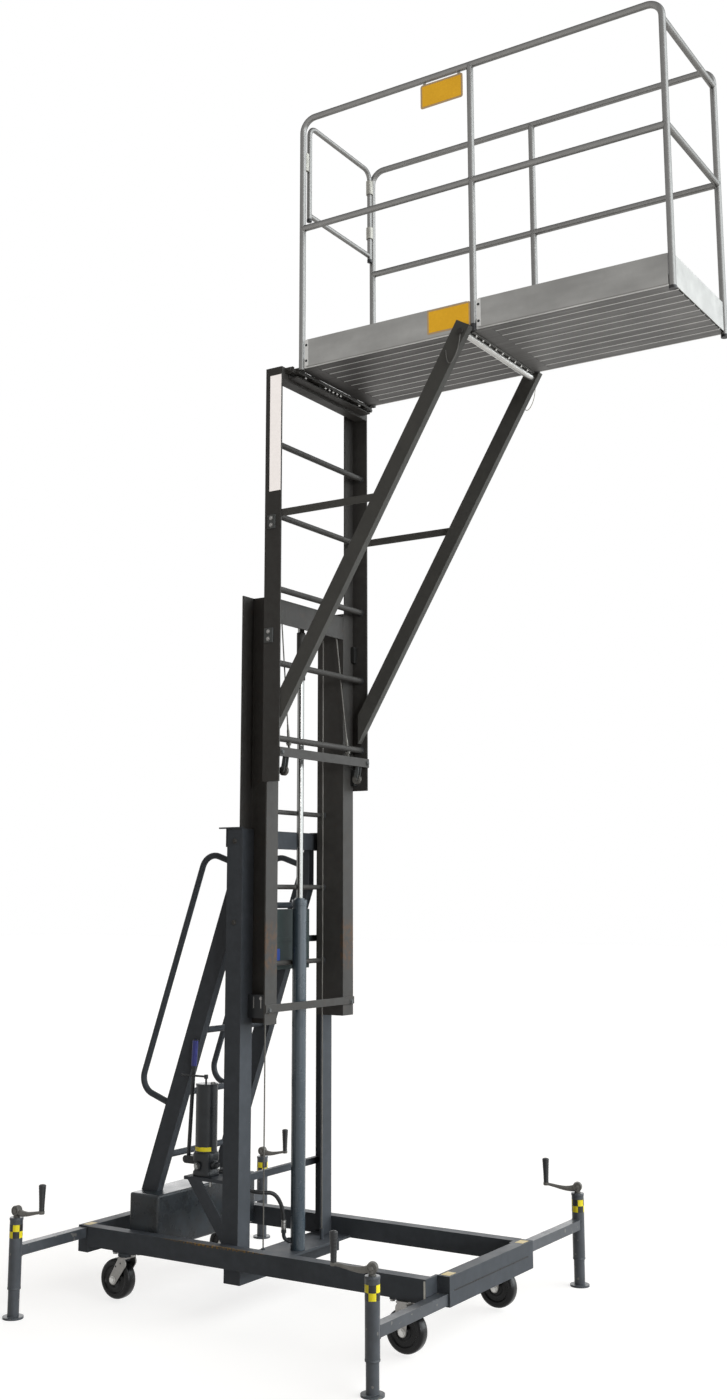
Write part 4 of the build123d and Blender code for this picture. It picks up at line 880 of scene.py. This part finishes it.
class LIFT_OT_cranks(Operator):
    """Cast cranks with moulded grips on the four screw jacks"""
    bl_idname = "lift.cranks"
    bl_label = "Cranks"

    def execute(self, context):
        reach, rise = 130.0, 12.0
        boss = [(0, 2), (0, 18.5), (9, 19), (12.4, 17.5), (12.4, 14), (9.6, 13), (9.6, 9), (12.8, 8.2),
                (12.8, 2)]
        bolt = [(0, 2), (0, 6), (2.6, 6), (3.4, 5), (3.4, 2)]
        collar = [(-24.7, 4), (-24.7, 13), (-21, 13), (-20, 11.5), (-4, 11.5), (-4, 4)]
        screw = [(-278, 3), (-278, 8), (-276, 9), (-20, 9), (-20, 3)]
        knuckle = [(-6, 2), (-6, 10), (-3, 11.5), (5, 11.5), (6.4, 9), (6.4, 2)]
        share = np.linspace(0, 1, 30)
        for label, (x, y, heading) in corners.items():
            turn = math.radians(heading)
            ahead = np.array([math.cos(turn), math.sin(turn), 0])
            aside = np.array([-math.sin(turn), math.cos(turn), 0])
            top = np.array([0, 0, 1.0])
            hub = spot(x, y, crank_hub_z)
            # The arm leaves the hub low, dips and rises to the grip:
            # z = 6 s ** 2 - 12 sin(pi s) * (1 - s) - 3 (1 - s).
            height = (rise - 6) * share ** 2 - 12 * np.sin(math.pi * share) * (1 - share) - 3 * (1 - share)
            path = hub + (reach * share[:, None] * ahead + height[:, None] * top) / 1000
            tangent = np.gradient(path, axis=0)
            tangent /= np.linalg.norm(tangent, axis=1)[:, None]
            over = np.cross(tangent, aside)
            angle = np.linspace(0, 2 * math.pi, 20, endpoint=False)
            wide = 0.0095 - 0.003 * share
            deep = 0.0055 + 0.0095 * (1 - share) ** 2
            squared = np.abs(np.cos(angle)) ** 0.6 * np.sign(np.cos(angle))
            raised = np.abs(np.sin(angle)) ** 0.6 * np.sign(np.sin(angle))
            section = (wide[:, None, None] * squared[None, :, None] * aside
                       + deep[:, None, None] * raised[None, :, None] * over[:, None])
            parts = [lattice(path[:, None] + section)]
            for way in (-1, 1):
                parts.append(turned(boss, hub, way * aside, 40))
            parts.append(turned(bolt, hub + 0.0125 * aside, aside, 6))
            parts.append(turned(collar, hub, top, 28))
            parts.append(turned(screw, hub, top, 20))
            seat = hub + (reach * ahead + (rise - 6) * top) / 1000
            parts.append(turned(knuckle, seat, top, 28))
            build(label + "_crank_casting", parts, "casting", label + "_crank",
                  replaces=[label + "_crank"])
            foot = hub + (reach * ahead + rise * top) / 1000
            along = np.linspace(0, 1, 60)
            flare = 10.2 + 4.4 * along ** 1.4
            groove = 0.45 * np.clip(np.cos(along * 2 * math.pi * 9), 0, 1) * (along > 0.1) * (along < 0.9)
            round_end = np.sqrt(np.clip(1 - np.clip((along - 0.93) / 0.07, 0, 1) ** 2, 0.02, 1))
            grip = [(0.6, 1.0), *zip(0.6 + 97.4 * along, (flare - groove) * round_end)]
            build(label + "_crank_grip", [turned(grip, foot, top, 32)], "grip", label + "_crank")
        return {"FINISHED"}


def fork_body(label):
    """Body that a caster's fork rides on: its swivel at the rear and the base in front."""
    return label.split("_")[1] + "_swivel" if label.startswith("rear") else "base"


class LIFT_OT_wheels(Operator):
    """Moulded caster wheels with ringed faces, their bushings and axle nuts"""
    bl_idname = "lift.wheels"
    bl_label = "Wheels"

    def execute(self, context):
        half = [(24.4, 6.1), (24.4, 14), (22.5, 16.5), (19, 17.5), (18, 19), (18, 27), (19.5, 28.5),
                (20, 30), (18.6, 32), (16.8, 36), (16.4, 44), (17, 49), (20.5, 52), (23.6, 53.5), (24.3, 56),
                (24.3, 60), (23.5, 61), (23.5, 62.4), (24.2, 63.4), (23.6, 67), (21.5, 71), (18, 74),
                (13, 75.6), (6, 76.1), (0, 76.2)]
        profile = half + [(-y, r) for y, r in half[-2::-1]]
        face = [(0, 6.2), (0, 11), (0.8, 11.5), (0.8, 6.2)]
        for label, (x, y) in wheel_places.items():
            hub = spot(x, y, axle_z)
            build(label + "_caster_wheel", [turned(profile, hub, (0, 1, 0), 72, closed=True)],
                  "tread", label + "_wheel", replaces=[label + "_wheel"])
            rings = [turned(face, hub + (0, side * 0.0245, 0), (0, side, 0), 32, closed=True)
                     for side in (-1, 1)]
            build(label + "_wheel_bushing", rings, "zinc", label + "_wheel")
            nuts = []
            for side in (-1, 1):
                nuts += hex_head(hub + (0, side * fork_leg_out / 1000, 0), (0, side, 0), 19.0, 8.5)
            build(label + "_axle_nuts", nuts, "galvanised", fork_body(label))
        return {"FINISHED"}


class LIFT_OT_casters(Operator):
    """Caster plates with ball races, and stamped forks with round ends and lightening holes drawn as black
    discs of painted shade
    """
    bl_idname = "lift.casters"
    bl_label = "Casters"

    def execute(self, context):
        plate_low, plate_high, half_length, half_width = 187.4, 193.4, 55.0, 25.4
        race = [(0, 8), (0, 33), (1.5, 36), (5, 36), (6, 33.5), (7, 36), (10.5, 36), (12, 33), (12, 8)]
        hole_shade_disc = [(0, 0.2), (0, 3.8), (0.3, 3.6), (0.3, 0.2)]
        axle = [(-36, 0.5), (-36, 6), (36, 6), (36, 0.5)]
        plates = []
        for label, (x, y) in wheel_places.items():
            rear = label.startswith("rear")
            crown_x = x + 43.0 if rear else x
            crown_top = 175.1 if rear else plate_low
            plates.append(block((crown_x - half_length, crown_x + half_length),
                                (y - half_width, y + half_width), (plate_low, plate_high)))
            eye, shoulder = (19.0, 23.0) if rear else (17.0, 26.0)
            outline = link_outline((x, axle_z), (crown_x - 1, crown_top - shoulder), eye, shoulder)
            across_legs = (y - fork_leg_out + 0.5, y + fork_leg_out - 0.5)
            legs = [block((crown_x - shoulder + 2, crown_x + shoulder - 4), across_legs,
                          (crown_top - 7, crown_top))]
            legs.append(turned(axle, spot(x, y, axle_z), (0, 1, 0), 24))
            # The lightening holes are not cut: thin black discs on the legs' outer faces are painted shade in
            # their place.
            hole_shades = []
            for side in (-1, 1):
                legs.append(side_plate(outline, y + side * fork_leg_in, side * (fork_leg_out - fork_leg_in)))
                for a, b in ((14, 52), (38, 66)) if rear else ((-10, 62), (10, 62)):
                    place = spot(x + a, y + side * (fork_leg_out - 0.1), axle_z + b)
                    hole_shades.append(turned(hole_shade_disc, place, (0, side, 0), 18))
            body = fork_body(label)
            if rear:
                plates.append(turned(race, spot(crown_x, y, crown_top + 0.3), (0, 0, 1), 48))
                plates += hex_head(spot(crown_x, y, crown_top - 7.5), (0, 0, -1), 22.0, 9.0)
            build(label + "_fork_legs", legs, "zinc", body, bevel=1.0,
                  replaces=[label + "_fork"] if rear else [])
            build(label + "_fork_hole_shades", hole_shades, "black_film", body)
        build("caster_plates", plates, "enamel", "base", bevel=0.8,
              replaces=["caster_mounts"])
        return {"FINISHED"}


class LIFT_OT_jack_bands(Operator):
    """Checked bands and end rings on the four jack tubes"""
    bl_idname = "lift.jack_bands"
    bl_label = "Jack bands"

    def execute(self, context):
        columns, steps = 6, 8
        # Directions of a black check in the upper row, in degrees.
        facing = {"front_near": -58.2, "rear_near": 14.7, "front_far": -95.7, "rear_far": -24.1}
        rows = [(292.0, 25.02), (292.0, 25.3), (316.5, 25.3), (341.0, 25.3), (341.0, 25.02)]
        rim = [(0, 24.6), (0, 25.6), (1, 26.4), (8, 26.4), (10, 25.4), (10, 13.5), (9.3, 13.5), (9.3, 24.6)]
        foot = [(0, 25.02), (0, 25.8), (6, 25.8), (7, 25.02)]
        cell = np.arange(columns * steps) // steps
        parity = [cell % 2, cell % 2, (cell + 1) % 2, (cell + 1) % 2, cell % 2]
        index = np.concatenate(parity).astype(np.int32)
        for label, (x, y, _) in corners.items():
            first = math.radians(facing[label]) - math.pi / columns
            angle = np.arange(columns * steps) * 2 * math.pi / (columns * steps) + first
            circle = np.stack([np.cos(angle), np.sin(angle), np.zeros_like(angle)], axis=-1)
            points = np.array([spot(x, y, z) + radius / 1000 * circle for z, radius in rows])
            build(label + "_jack_band", [lattice(points, wrap_u=True)], ["yellow", "black_film"],
                  label + "_arm", index=index)
            rings = [turned(rim, spot(x, y, jack_top - 9), (0, 0, 1), 40, closed=True),
                     turned(foot, spot(x, y, 106), (0, 0, 1), 40, closed=True)]
            build(label + "_jack_rings", rings, "arm_enamel", label + "_arm")
        return {"FINISHED"}


class LIFT_OT_welds(Operator):
    """Weld beads where pipes, rungs, steps and arms meet what carries them"""
    bl_idname = "lift.welds"
    bl_label = "Welds"

    @staticmethod
    def saddle(centre, branch, main, reach, radius):
        """Bead where a pipe meets an equal pipe, turned away from a point 20 mm along the branch."""
        return bead(saddle_path(centre, branch, main, reach), centre + 0.02 * np.array(branch, float), radius)

    @staticmethod
    def rings(name, centres, reach, body):
        """Beads round the ends of rungs or steps that lie along Y."""
        beads = [bead(ring_path(centre, (0, 1, 0), reach), centre, sizes().weld_radius) for centre in centres]
        build(name, beads, "enamel", body)

    def execute(self, context):
        radius = sizes().weld_radius
        reach = pipe_radius - 0.4
        sides = (-1, 1)
        beads = []
        for side in sides:
            y = side * post_y
            for x, ways in zip(post_xs, ((1,), (-1, 1), (-1,))):
                for way in ways:
                    beads.append(self.saddle(spot(x, y, mid_rail_z), (way, 0, 0), (0, 0, 1), reach, radius))
            for z in (mid_rail_z, end_rail_z):
                beads.append(self.saddle(spot(post_xs[2], y, z), (0, -side, 0), (0, 0, 1), reach - 1.6,
                                         0.6 * radius))
            beads.append(self.saddle(spot(post_xs[1], y, top_rail_z), (0, 0, -1), (1, 0, 0), reach, radius))
        build("rail_welds", beads, "pipe", "platform")
        centres = [spot(rung_x, side * 326.5, z) for z in rung_zs for side in sides]
        self.rings("rung_welds", centres, 13.4, "ladder_stage")
        middle_zs = 1925.0 - rung_step * np.arange(3)
        centres = [spot(-101.0, side * 239.0, z) for z in middle_zs for side in sides]
        self.rings("middle_rung_welds", centres, 10.6, "middle_stage")
        # The steps follow the braces' slope, from their feet to their tops.
        foot_x, foot_z, top_x, top_z = -655.0, 411.0, -185.0, 1778.0
        slope = (top_z - foot_z) / (top_x - foot_x)
        step_zs = 545.0 + 250.0 * np.arange(5)
        centres = [spot(foot_x + (z - foot_z) / slope + 40.2, side * 215.6, z)
                   for z in step_zs for side in sides]
        self.rings("step_welds", centres, 13.4, "base")
        # Round each arm's end: a square of the arm's size laid on the jack tube, y = sqrt(R ** 2 - x ** 2).
        half, tube_radius = 19.5, 25.2
        edge = np.linspace(-half, half, 14, endpoint=False)
        flat = np.full(len(edge), half)
        lines = [(edge, -flat), (flat, edge), (-edge, flat), (-flat, -edge)]
        square = np.concatenate([np.stack(line, axis=-1) for line in lines])
        for label, (x, y, _) in corners.items():
            inward = -np.sign(y)
            depth = inward * np.sqrt(tube_radius ** 2 - square[:, 0] ** 2)
            offset = np.stack([square[:, 0], depth, square[:, 1]], axis=-1) / 1000
            path = spot(x, y, arm_zs[label]) + offset
            middle = spot(x, y + inward * tube_radius, arm_zs[label])
            build(label + "_arm_weld", [bead(path, middle, radius)], "arm_enamel", label + "_arm")
        return {"FINISHED"}


def rounded_column(x, y, rows, half, power=5.0, count=56):
    """Column of rounded rectangles: a sgn(cos t) |cos t| ** (2 / p), b sgn(sin t) |sin t| ** (2 / p), in mm.
    Each row gives a height and the share by which the outline is scaled there."""
    angle = np.linspace(0, 2 * math.pi, count, endpoint=False)
    wave = np.stack([np.cos(angle), np.sin(angle)], axis=-1)
    outline = np.sign(wave) * np.abs(wave) ** (2 / power) * np.array(half)
    heights, shares = np.array(rows, float).T
    points = np.zeros((len(heights), count, 3))
    points[..., :2] = shares[:, None, None] * outline
    points[..., 2] = heights[:, None]
    return lattice(points / 1000 + spot(x, y, 0))


def patch(x, y, zs, radius, arc, thickness=0.25, count=28):
    """Film on a round post: part of a cylinder between two angles in degrees, a little proud of it."""
    angle = np.radians(np.linspace(arc[0], arc[1], count))
    circle = np.stack([np.cos(angle), np.sin(angle), np.zeros(count)], axis=-1)
    rows = [(zs[0], radius), (zs[0], radius + thickness), (zs[1], radius + thickness), (zs[1], radius)]
    points = np.array([spot(x, y, z) + r / 1000 * circle for z, r in rows])
    return lattice(points.transpose(1, 0, 2)[::-1])


class LIFT_OT_pump(Operator):
    """Cast pump body with its bolts and plugs, the reservoir's band and the lever's dipped grip"""
    bl_idname = "lift.pump"
    bl_label = "Pump"

    def execute(self, context):
        x, y = pump_x, pump_y
        rows = [(500, 0.95), (502, 0.99), (505, 1), (516, 1), (519, 0.97), (523, 0.9), (552, 0.9),
                (557, 0.96), (561, 0.99), (583, 0.99), (587, 0.97), (590, 0.92)]
        parts = [rounded_column(x, y, rows, (43, 39))]
        # Two ears hold the lever's pin: a round end of 15 mm radius and straight sides back to the body.
        pin_x, pin_y, pin_z = lever_pivot
        turn = np.linspace(math.pi / 2, 3 * math.pi / 2, 20)
        ear = [*zip(pin_x + 15 * np.cos(turn), pin_z + 15 * np.sin(turn)), (-350, 540), (-350, 570)]
        for side in (-1, 1):
            parts.append(side_plate(ear, pin_y + side * 8.3, side * 10))
        pin = [(-20, 1), (-20, 6), (-18, 8), (18, 8), (20, 6), (20, 1)]
        parts.append(turned(pin, spot(*lever_pivot), (0, 1, 0), 24))
        # A boss and a plug on the near face, the ram's gland in front and the valve beside it.
        boss = [(0, 2), (0, 15), (6, 15), (8, 13), (8, 2)]
        gland = [(0, 2), (0, 17), (10, 17), (12, 15), (12, 2)]
        valve = [(0, 2), (0, 10), (14, 10), (15, 9), (15, 2)]
        parts.append(turned(boss, spot(-322, -312, 540), (0, -1, 0), 32))
        parts.append(turned(gland, spot(-270, -280, 545), (1, 0, 0), 32))
        parts.append(turned(valve, spot(-259, -280, 545), (1, 0, 0), 6))
        for a, b in ((-34, -31), (34, -31), (-34, 31), (34, 31)):
            parts += hex_head(spot(x + a, y + b, 500), (0, 0, -1), 13.0, 6.0)
        build("pump_casting", parts, "pump_enamel", "base", replaces=["pump_body"])
        drain = [(0, 2), (0, 8), (5, 8), (6, 6.2), (28, 6.2), (30, 5), (30, 2)]
        plugs = hex_head(spot(-322, -320, 540), (0, -1, 0), 15.0, 7.0)
        plugs.append(turned(drain, spot(-254, -316.5, 500), (0, 0, -1), 24))
        plugs += hex_head(spot(x + 30, y, 850), (0, 0, 1), 15.0, 7.0)
        build("pump_plugs", plugs, "chrome", "base")
        band = patch(x, y, (596, 612), 43.0, (-160, -25))
        build("reservoir_band", [band], "yellow", "base")
        rim = [(0, 43), (0, 44.6), (5, 44.6), (6, 43)]
        rings = [turned(rim, spot(x, y, z), (0, 0, 1), 48, closed=True) for z in (590, 844)]
        build("reservoir_rings", rings, "pump_enamel", "base")
        gusset = side_plate([(-360, 488), (-294, 488), (-189, 356), (-189, 266)], -325.6, 7.2)
        build("bracket_gusset", [gusset], "enamel", "base", bevel=0.8)
        lean = np.array([26.0, 0, 460.0]) / np.linalg.norm([26.0, 0, 460.0])
        along = np.linspace(0, 1, 50)
        swell = 11.6 + 0.15 * np.cos(along * 2 * math.pi * 4) * (along > 0.12) * (along < 0.88)
        end = np.sqrt(np.clip(1 - np.clip((along - 0.94) / 0.06, 0, 1) ** 2, 0.02, 1))
        profile = [(0, 8.5), *zip(103.5 * along, swell * end)]
        foot = spot(*lever_pivot) + lean * 0.358
        build("lever_dipped_grip", [turned(profile, foot, lean, 28)], "blue_grip", "lever")
        return {"FINISHED"}


class LIFT_OT_closures(Operator):
    """Plates that close the tubes' ends, the front sleeves' seam, the films and the counterweight's shell"""
    bl_idname = "lift.closures"
    bl_label = "Closures"

    def execute(self, context):
        inside = 19.3
        plates = []
        for x, z, ys in ((rear_arm_x, lower_arm_z, (-371, -367)), (rear_arm_x, upper_arm_z, (291, 295)),
                         (front_arm_x, upper_arm_z, (-295, -291)), (front_arm_x, lower_arm_z, (367, 371))):
            plates.append(block((x - inside, x + inside), ys, (z - inside, z + inside)))
        plates += two_sided((-159.4, -89.6), (341.5, 345), (136.5, 190.3))
        build("tube_ends", plates, "enamel", "base", bevel=0.8)
        face = front_arm_x + 25.4
        seam = block((face - 0.1, face + 0.25), (-262, 330), (216.4, 221.2))
        build("sleeve_seam", [seam], "tread", "base")
        films = [block((x - 17, x + 17), ys, (269.5, 269.9)) for x, ys in (
            (front_arm_x, (-282, -232)), (front_arm_x, (300, 352)), (rear_arm_x, (-355, -305)))]
        build("sleeve_films", films, "straw", "base")
        shell = block((-656, -507), (-325, 325), (203, 411))
        build("counterweight_shell", [shell], "glossy_enamel", "base", bevel=9.0, steps=5,
              replaces=["counterweight_box"])
        covers = two_sided((740.8, 741.2), (287, 374), (195, 268))
        build("rail_end_covers", covers, "enamel", "base", bevel=0.15)
        rims = two_sided((732.5, 740.0), (375.7, 376.2), (199, 264))
        build("rail_end_rims", rims, "fitting", "base")
        return {"FINISHED"}


class LIFT_OT_plates(Operator):
    """Plain plates and films on the guard rail, toe board, ladder and document box"""
    bl_idname = "lift.plates"
    bl_label = "Plates"

    def execute(self, context):
        rail_face = -post_y - pipe_radius
        rims = [rounded_plate((711, 905), (rail_face + 11.0, rail_face + 12.4), (4728, 4833), 10.0),
                rounded_plate((735, 927), (-288.5, -287.9), (3757, 3858), 7.0)]
        build("plate_rims", rims, "backing", "platform")
        films = [rounded_plate((719, 897), (rail_face + 10.7, rail_face + 11.1), (4736, 4825), 4.0),
                 rounded_plate((742, 920), (-288.8, -288.4), (3764, 3851), 3.5)]
        build("plate_films", films, "amber", "platform")
        back = rounded_plate((713, 903), (rail_face + 12.2, rail_face + 12.7), (4730, 4831), 9.0)
        build("plate_back", [back], "board", "platform")
        clips = [block((x, x + 14), (rail_face + 12.2, rail_face + 15.0), (4818, 4846)) for x in (722, 880)]
        build("plate_clips", clips, "fitting", "platform", bevel=0.6)
        for name, shape, finish, body, slot, bevel in (
                ("ladder_film", block((9, 65), (-333.4, -333.0), (3220, 3716)), "pale_film", "ladder_stage",
                 "black_plastic", 0.15),
                ("box_film", block((-116.1, -115.6), (-78, -56), (1322, 1371)), "blue_film", "base",
                 "black_plastic", 0.15),
                ("box_band", block((-116.1, -113.6), (-157, 157), (1397, 1415)), "box_enamel", "base",
                 "charcoal_paint", 0.8)):
            build(name, [shape], finish, body, bevel=bevel)
        return {"FINISHED"}


class LIFT_OT_fasteners(Operator):
    """Bolts and clips of the mast stages and the ladder, and the toe boards' rivets, flanges and corners"""
    bl_idname = "lift.fasteners"
    bl_label = "Fasteners"

    def execute(self, context):
        bar_bolts, ladder_bolts, clips, clip_bolts, upright_bolts, rivets = [], [], [], [], [], []
        rivet = [(0, 0.4), (0, 6), (1.2, 5.4), (2.4, 3.4), (2.9, 0.4)]
        for side in (-1, 1):
            bar_bolts += hex_head(spot(6, side * 296, 1145), (1, 0, 0), 15.0, 6.5)
            bar_bolts += hex_head(spot(-9, side * 282, 1145), (1, 0, 0), 13.0, 5.5)
            ladder_bolts += hex_head(spot(73.5, side * 318, 2148), (1, 0, 0), 15.0, 6.5)
            for (x0, x1), (z0, z1) in (((3, 41), (3061, 3120)), ((-9, 35), (2590, 2650))):
                clips.append(block((x0, x1), (side * 332.5, side * 337.5), (z0, z1)))
                for z in (z0 + 15, z1 - 15):
                    clip_bolts += hex_head(spot((x0 + x1) / 2, side * 337.5, z), (0, side, 0), 12.0, 5.0)
            for z in (240, 1480, 1800):
                upright_bolts += hex_head(spot(-150, side * 325, z), (0, side, 0), 15.0, 6.5)
            for x in (158, 962):
                for z in (3768, 3836):
                    rivets.append(turned(rivet, spot(x, side * 288, z), (0, side, 0), 20))
        build("middle_bar_bolts", bar_bolts, "clip_enamel", "middle_stage")
        build("ladder_clips", clips, "clip_enamel", "ladder_stage", bevel=1.2)
        build("ladder_clip_bolts", clip_bolts, "zinc", "ladder_stage")
        build("ladder_bolts", ladder_bolts, "clip_enamel", "ladder_stage")
        build("upright_bolts", upright_bolts, "mast_enamel", "base")
        build("board_rivets", rivets, "pump_enamel", "platform")
        flanges = [half for x in (159, 963)
                   for half in two_sided((x - 9, x + 9), (287.9, 288.5), (3746, 3858))]
        build("board_flanges", flanges, "galvanised", "platform", bevel=0.25)
        shut = two_sided((1714.4, 1727), (284.2, 287.9), (3743.2, 3859.8))
        build("board_corners", shut, "board", "platform")
        return {"FINISHED"}


class LIFT_OT_mast_fittings(Operator):
    """Rope studs and rollers on the ladder, pad covers, notch covers and the cylinder's gland ring"""
    bl_idname = "lift.mast_fittings"
    bl_label = "Mast fittings"

    def execute(self, context):
        studs, links, rollers = [], [], []
        rung = np.array([rung_x, 220.0, rung_zs[-1]])
        bar = [(-38, 0.5), (-38, 4.4), (-37, 5), (12, 5), (12, 0.5)]
        socket = [(11, 1), (11, 5.6), (36, 5.4), (44, 4.2), (62, 3.6), (62, 1)]
        wheel = [(-7, 1), (-7, 17), (-6, 20), (-4.5, 20), (-2, 16.5), (2, 16.5), (4.5, 20), (6, 20), (7, 17),
                 (7, 1)]
        pin = [(-13.5, 0.5), (-13.5, 8), (-11.4, 8), (-11.4, 5), (11.4, 5), (11.4, 8), (13.5, 8), (13.5, 0.5)]
        axis_x, axis_z, roller_y = 49.5, 2077.0, 272
        outline = link_outline((axis_x, axis_z), (60.0, 2140.0), 9.0, 8.0)
        for side in (-1, 1):
            place = rung * (1, side, 1)
            pull = np.array([front_rope_x, side * rope_y, sheave_z]) - place
            pull = pull / np.linalg.norm(pull)
            centre = spot(*place)
            studs.append(turned(bar, centre, pull, 20))
            studs.append(turned(socket, centre, pull, 24))
            studs += hex_head(centre - 0.0132 * pull, -pull, 17.0, 10.0)
            for edge in (-11.2, 8.0):
                links.append(side_plate(outline, side * roller_y + edge, 3.2))
            hub = spot(axis_x, side * roller_y, axis_z)
            rollers.append(turned(wheel, hub, (0, 1, 0), 36))
            rollers.append(turned(pin, hub, (0, 1, 0), 20))
        build("rope_studs", studs, "casting", "ladder_stage",
              replaces=["rope_fittings"])
        build("roller_links", links, "clip_enamel", "ladder_stage", bevel=0.5)
        build("rope_rollers", rollers, "casting", "ladder_stage")
        covers = two_sided((-111, -24), (275.7, 278.8), (1112, 1202))
        build("pad_covers", covers, "pump_enamel", "middle_stage", bevel=0.8)
        slots = [half for x in (-83, -48) for half in two_sided((x - 2, x + 2), (278.6, 279.2), (1150, 1194))]
        for side in (-1, 1):
            slots += hex_head(spot(-48, side * 278.8, 1188), (0, side, 0), 10.0, 4.0)
        build("pad_cover_slots", slots, "zinc", "middle_stage")
        notches = two_sided((-6, -1.02), (190.5, 217.5), (2686, 2744))
        build("head_covers", notches, "rusty_enamel", "middle_stage")
        sleeve = [(0, 14.3), (0, 17.5), (1.5, 18.5), (203, 18.5), (205, 14.3)]
        gland = [(0, 14.6), (0, 31.6), (4, 31.6), (5, 30), (7, 30), (8, 31.6), (20, 31.6), (23, 29), (25, 22),
                 (30, 20), (31.5, 17), (31.5, 14.6)]
        for name, profile, z, count, finish, body in (
                ("rod_socket", sleeve, 2482, 40, "mast_enamel", "middle_stage"),
                ("gland_ring", gland, 1544, 48, "cylinder", "base")):
            ring = turned(profile, spot(cylinder_x, 0, z), (0, 0, 1), count, closed=True)
            build(name, [ring], finish, body)
        return {"FINISHED"}


class LIFT_OT_plank_ends(Operator):
    """Liners, lips and hook teeth under the planks, the head beam's flange and the gate's end caps"""
    bl_idname = "lift.plank_ends"
    bl_label = "Plank ends"

    def execute(self, context):
        rib_pitch = 56.3
        rib_ys = -281.5 + rib_pitch * np.arange(11)
        # Liners close the channels between the ribs flush with their bottoms; their darker colour is painted
        # shade, darker still on the plank next to the ladder.
        for label, start, stop, smooth, finish in (("rear", 119, 897, (122, 196), "grimy_liner"),
                                                   ("front", 903, 1738, (902.5, 1004), "liner")):
            plates = [block(smooth, (-268, 268), (3738.8, 3739.9))]
            for y in rib_ys[:-1]:
                plates.append(block((start, stop), (y + 2.6, y + rib_pitch - 2.6), (3739.6, 3741.0)))
            build(label + "_plank_liners", plates, finish, "platform")
        # Round the hinge, the head beam's flange and apron and the plank's end lip reach towards each other.
        beam = [block((66, 113), (-286, 286), (3706, 3711)), block((67.6, 72), (-286, 286), (3710, 3755))]
        build("head_flange", beam, "mast_enamel", "ladder_stage", bevel=1.2)
        # The end lip and the lip by the cross pipe carry the liners' painted shade.
        end_lip = block((113.5, 118.2), (-276, 276), (3727, 3739.4))
        build("plank_end_lip", [end_lip], "liner", "platform", bevel=0.8)
        lip = block((916, 932), (-268, 268), (3735, 3739.4))
        build("plank_lip", [lip], "liner", "platform", bevel=1.2)
        # Saddles behind the cross pipe and hooks under the hinge pin: crescents that thin out to both ends.
        saddle = crescent((905, 3725.35), 14.6, 11.0, (12, 72))
        hook = crescent((95, 3735), 8.2, 6.0, (-170, 12))
        hinge_gaps = ((-220, -180), (-85, 85), (180, 220))
        teeth = [side_plate(saddle, y - 9, 9) for y in rib_ys[1:-1]]
        teeth += [side_plate(hook, y - 6, 12) for y in np.arange(-210, 211, 30)
                  if any(low < y < high for low, high in hinge_gaps)]
        build("plank_hooks", teeth, "galvanised", "platform")
        cap = [(0, 0.5), (0, 9), (1.5, 11.2), (13, 11.6), (14, 10.9), (14, 0.5)]
        caps = [turned(cap, spot(post_xs[0], y, 4409.5), (0, 0, 1), 28) for y in gate_ys]
        build("gate_caps", caps, "grip", "gate")
        return {"FINISHED"}


operators = [
    LIFT_OT_stage,
    LIFT_OT_finishes,
    LIFT_OT_hose,
    LIFT_OT_lanyards,
    LIFT_OT_ropes,
    LIFT_OT_cranks,
    LIFT_OT_wheels,
    LIFT_OT_casters,
    LIFT_OT_jack_bands,
    LIFT_OT_welds,
    LIFT_OT_pump,
    LIFT_OT_closures,
    LIFT_OT_plates,
    LIFT_OT_fasteners,
    LIFT_OT_mast_fittings,
    LIFT_OT_plank_ends,
]


class LIFT_PT_looks(Panel):
    """Lists the lift's pieces"""
    bl_label = "Personnel lift"
    bl_space_type = "VIEW_3D"
    bl_region_type = "UI"
    bl_category = "Lift"

    def draw(self, context):
        for kind in operators:
            self.layout.operator(kind.bl_idname)


classes = [LiftColours, LiftSizes, *operators, LIFT_PT_looks]


def register():
    for kind in classes:
        bpy.utils.register_class(kind)
    bpy.types.Scene.lift_colours = PointerProperty(type=LiftColours)
    bpy.types.Scene.lift_sizes = PointerProperty(type=LiftSizes)


def unregister():
    del bpy.types.Scene.lift_sizes
    del bpy.types.Scene.lift_colours
    for kind in reversed(classes):
        bpy.utils.unregister_class(kind)


def main():
    register()
    for kind in operators:
        getattr(bpy.ops.lift, kind.bl_idname.split(".")[1])()
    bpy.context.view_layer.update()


if __name__ == "__main__":
    main()
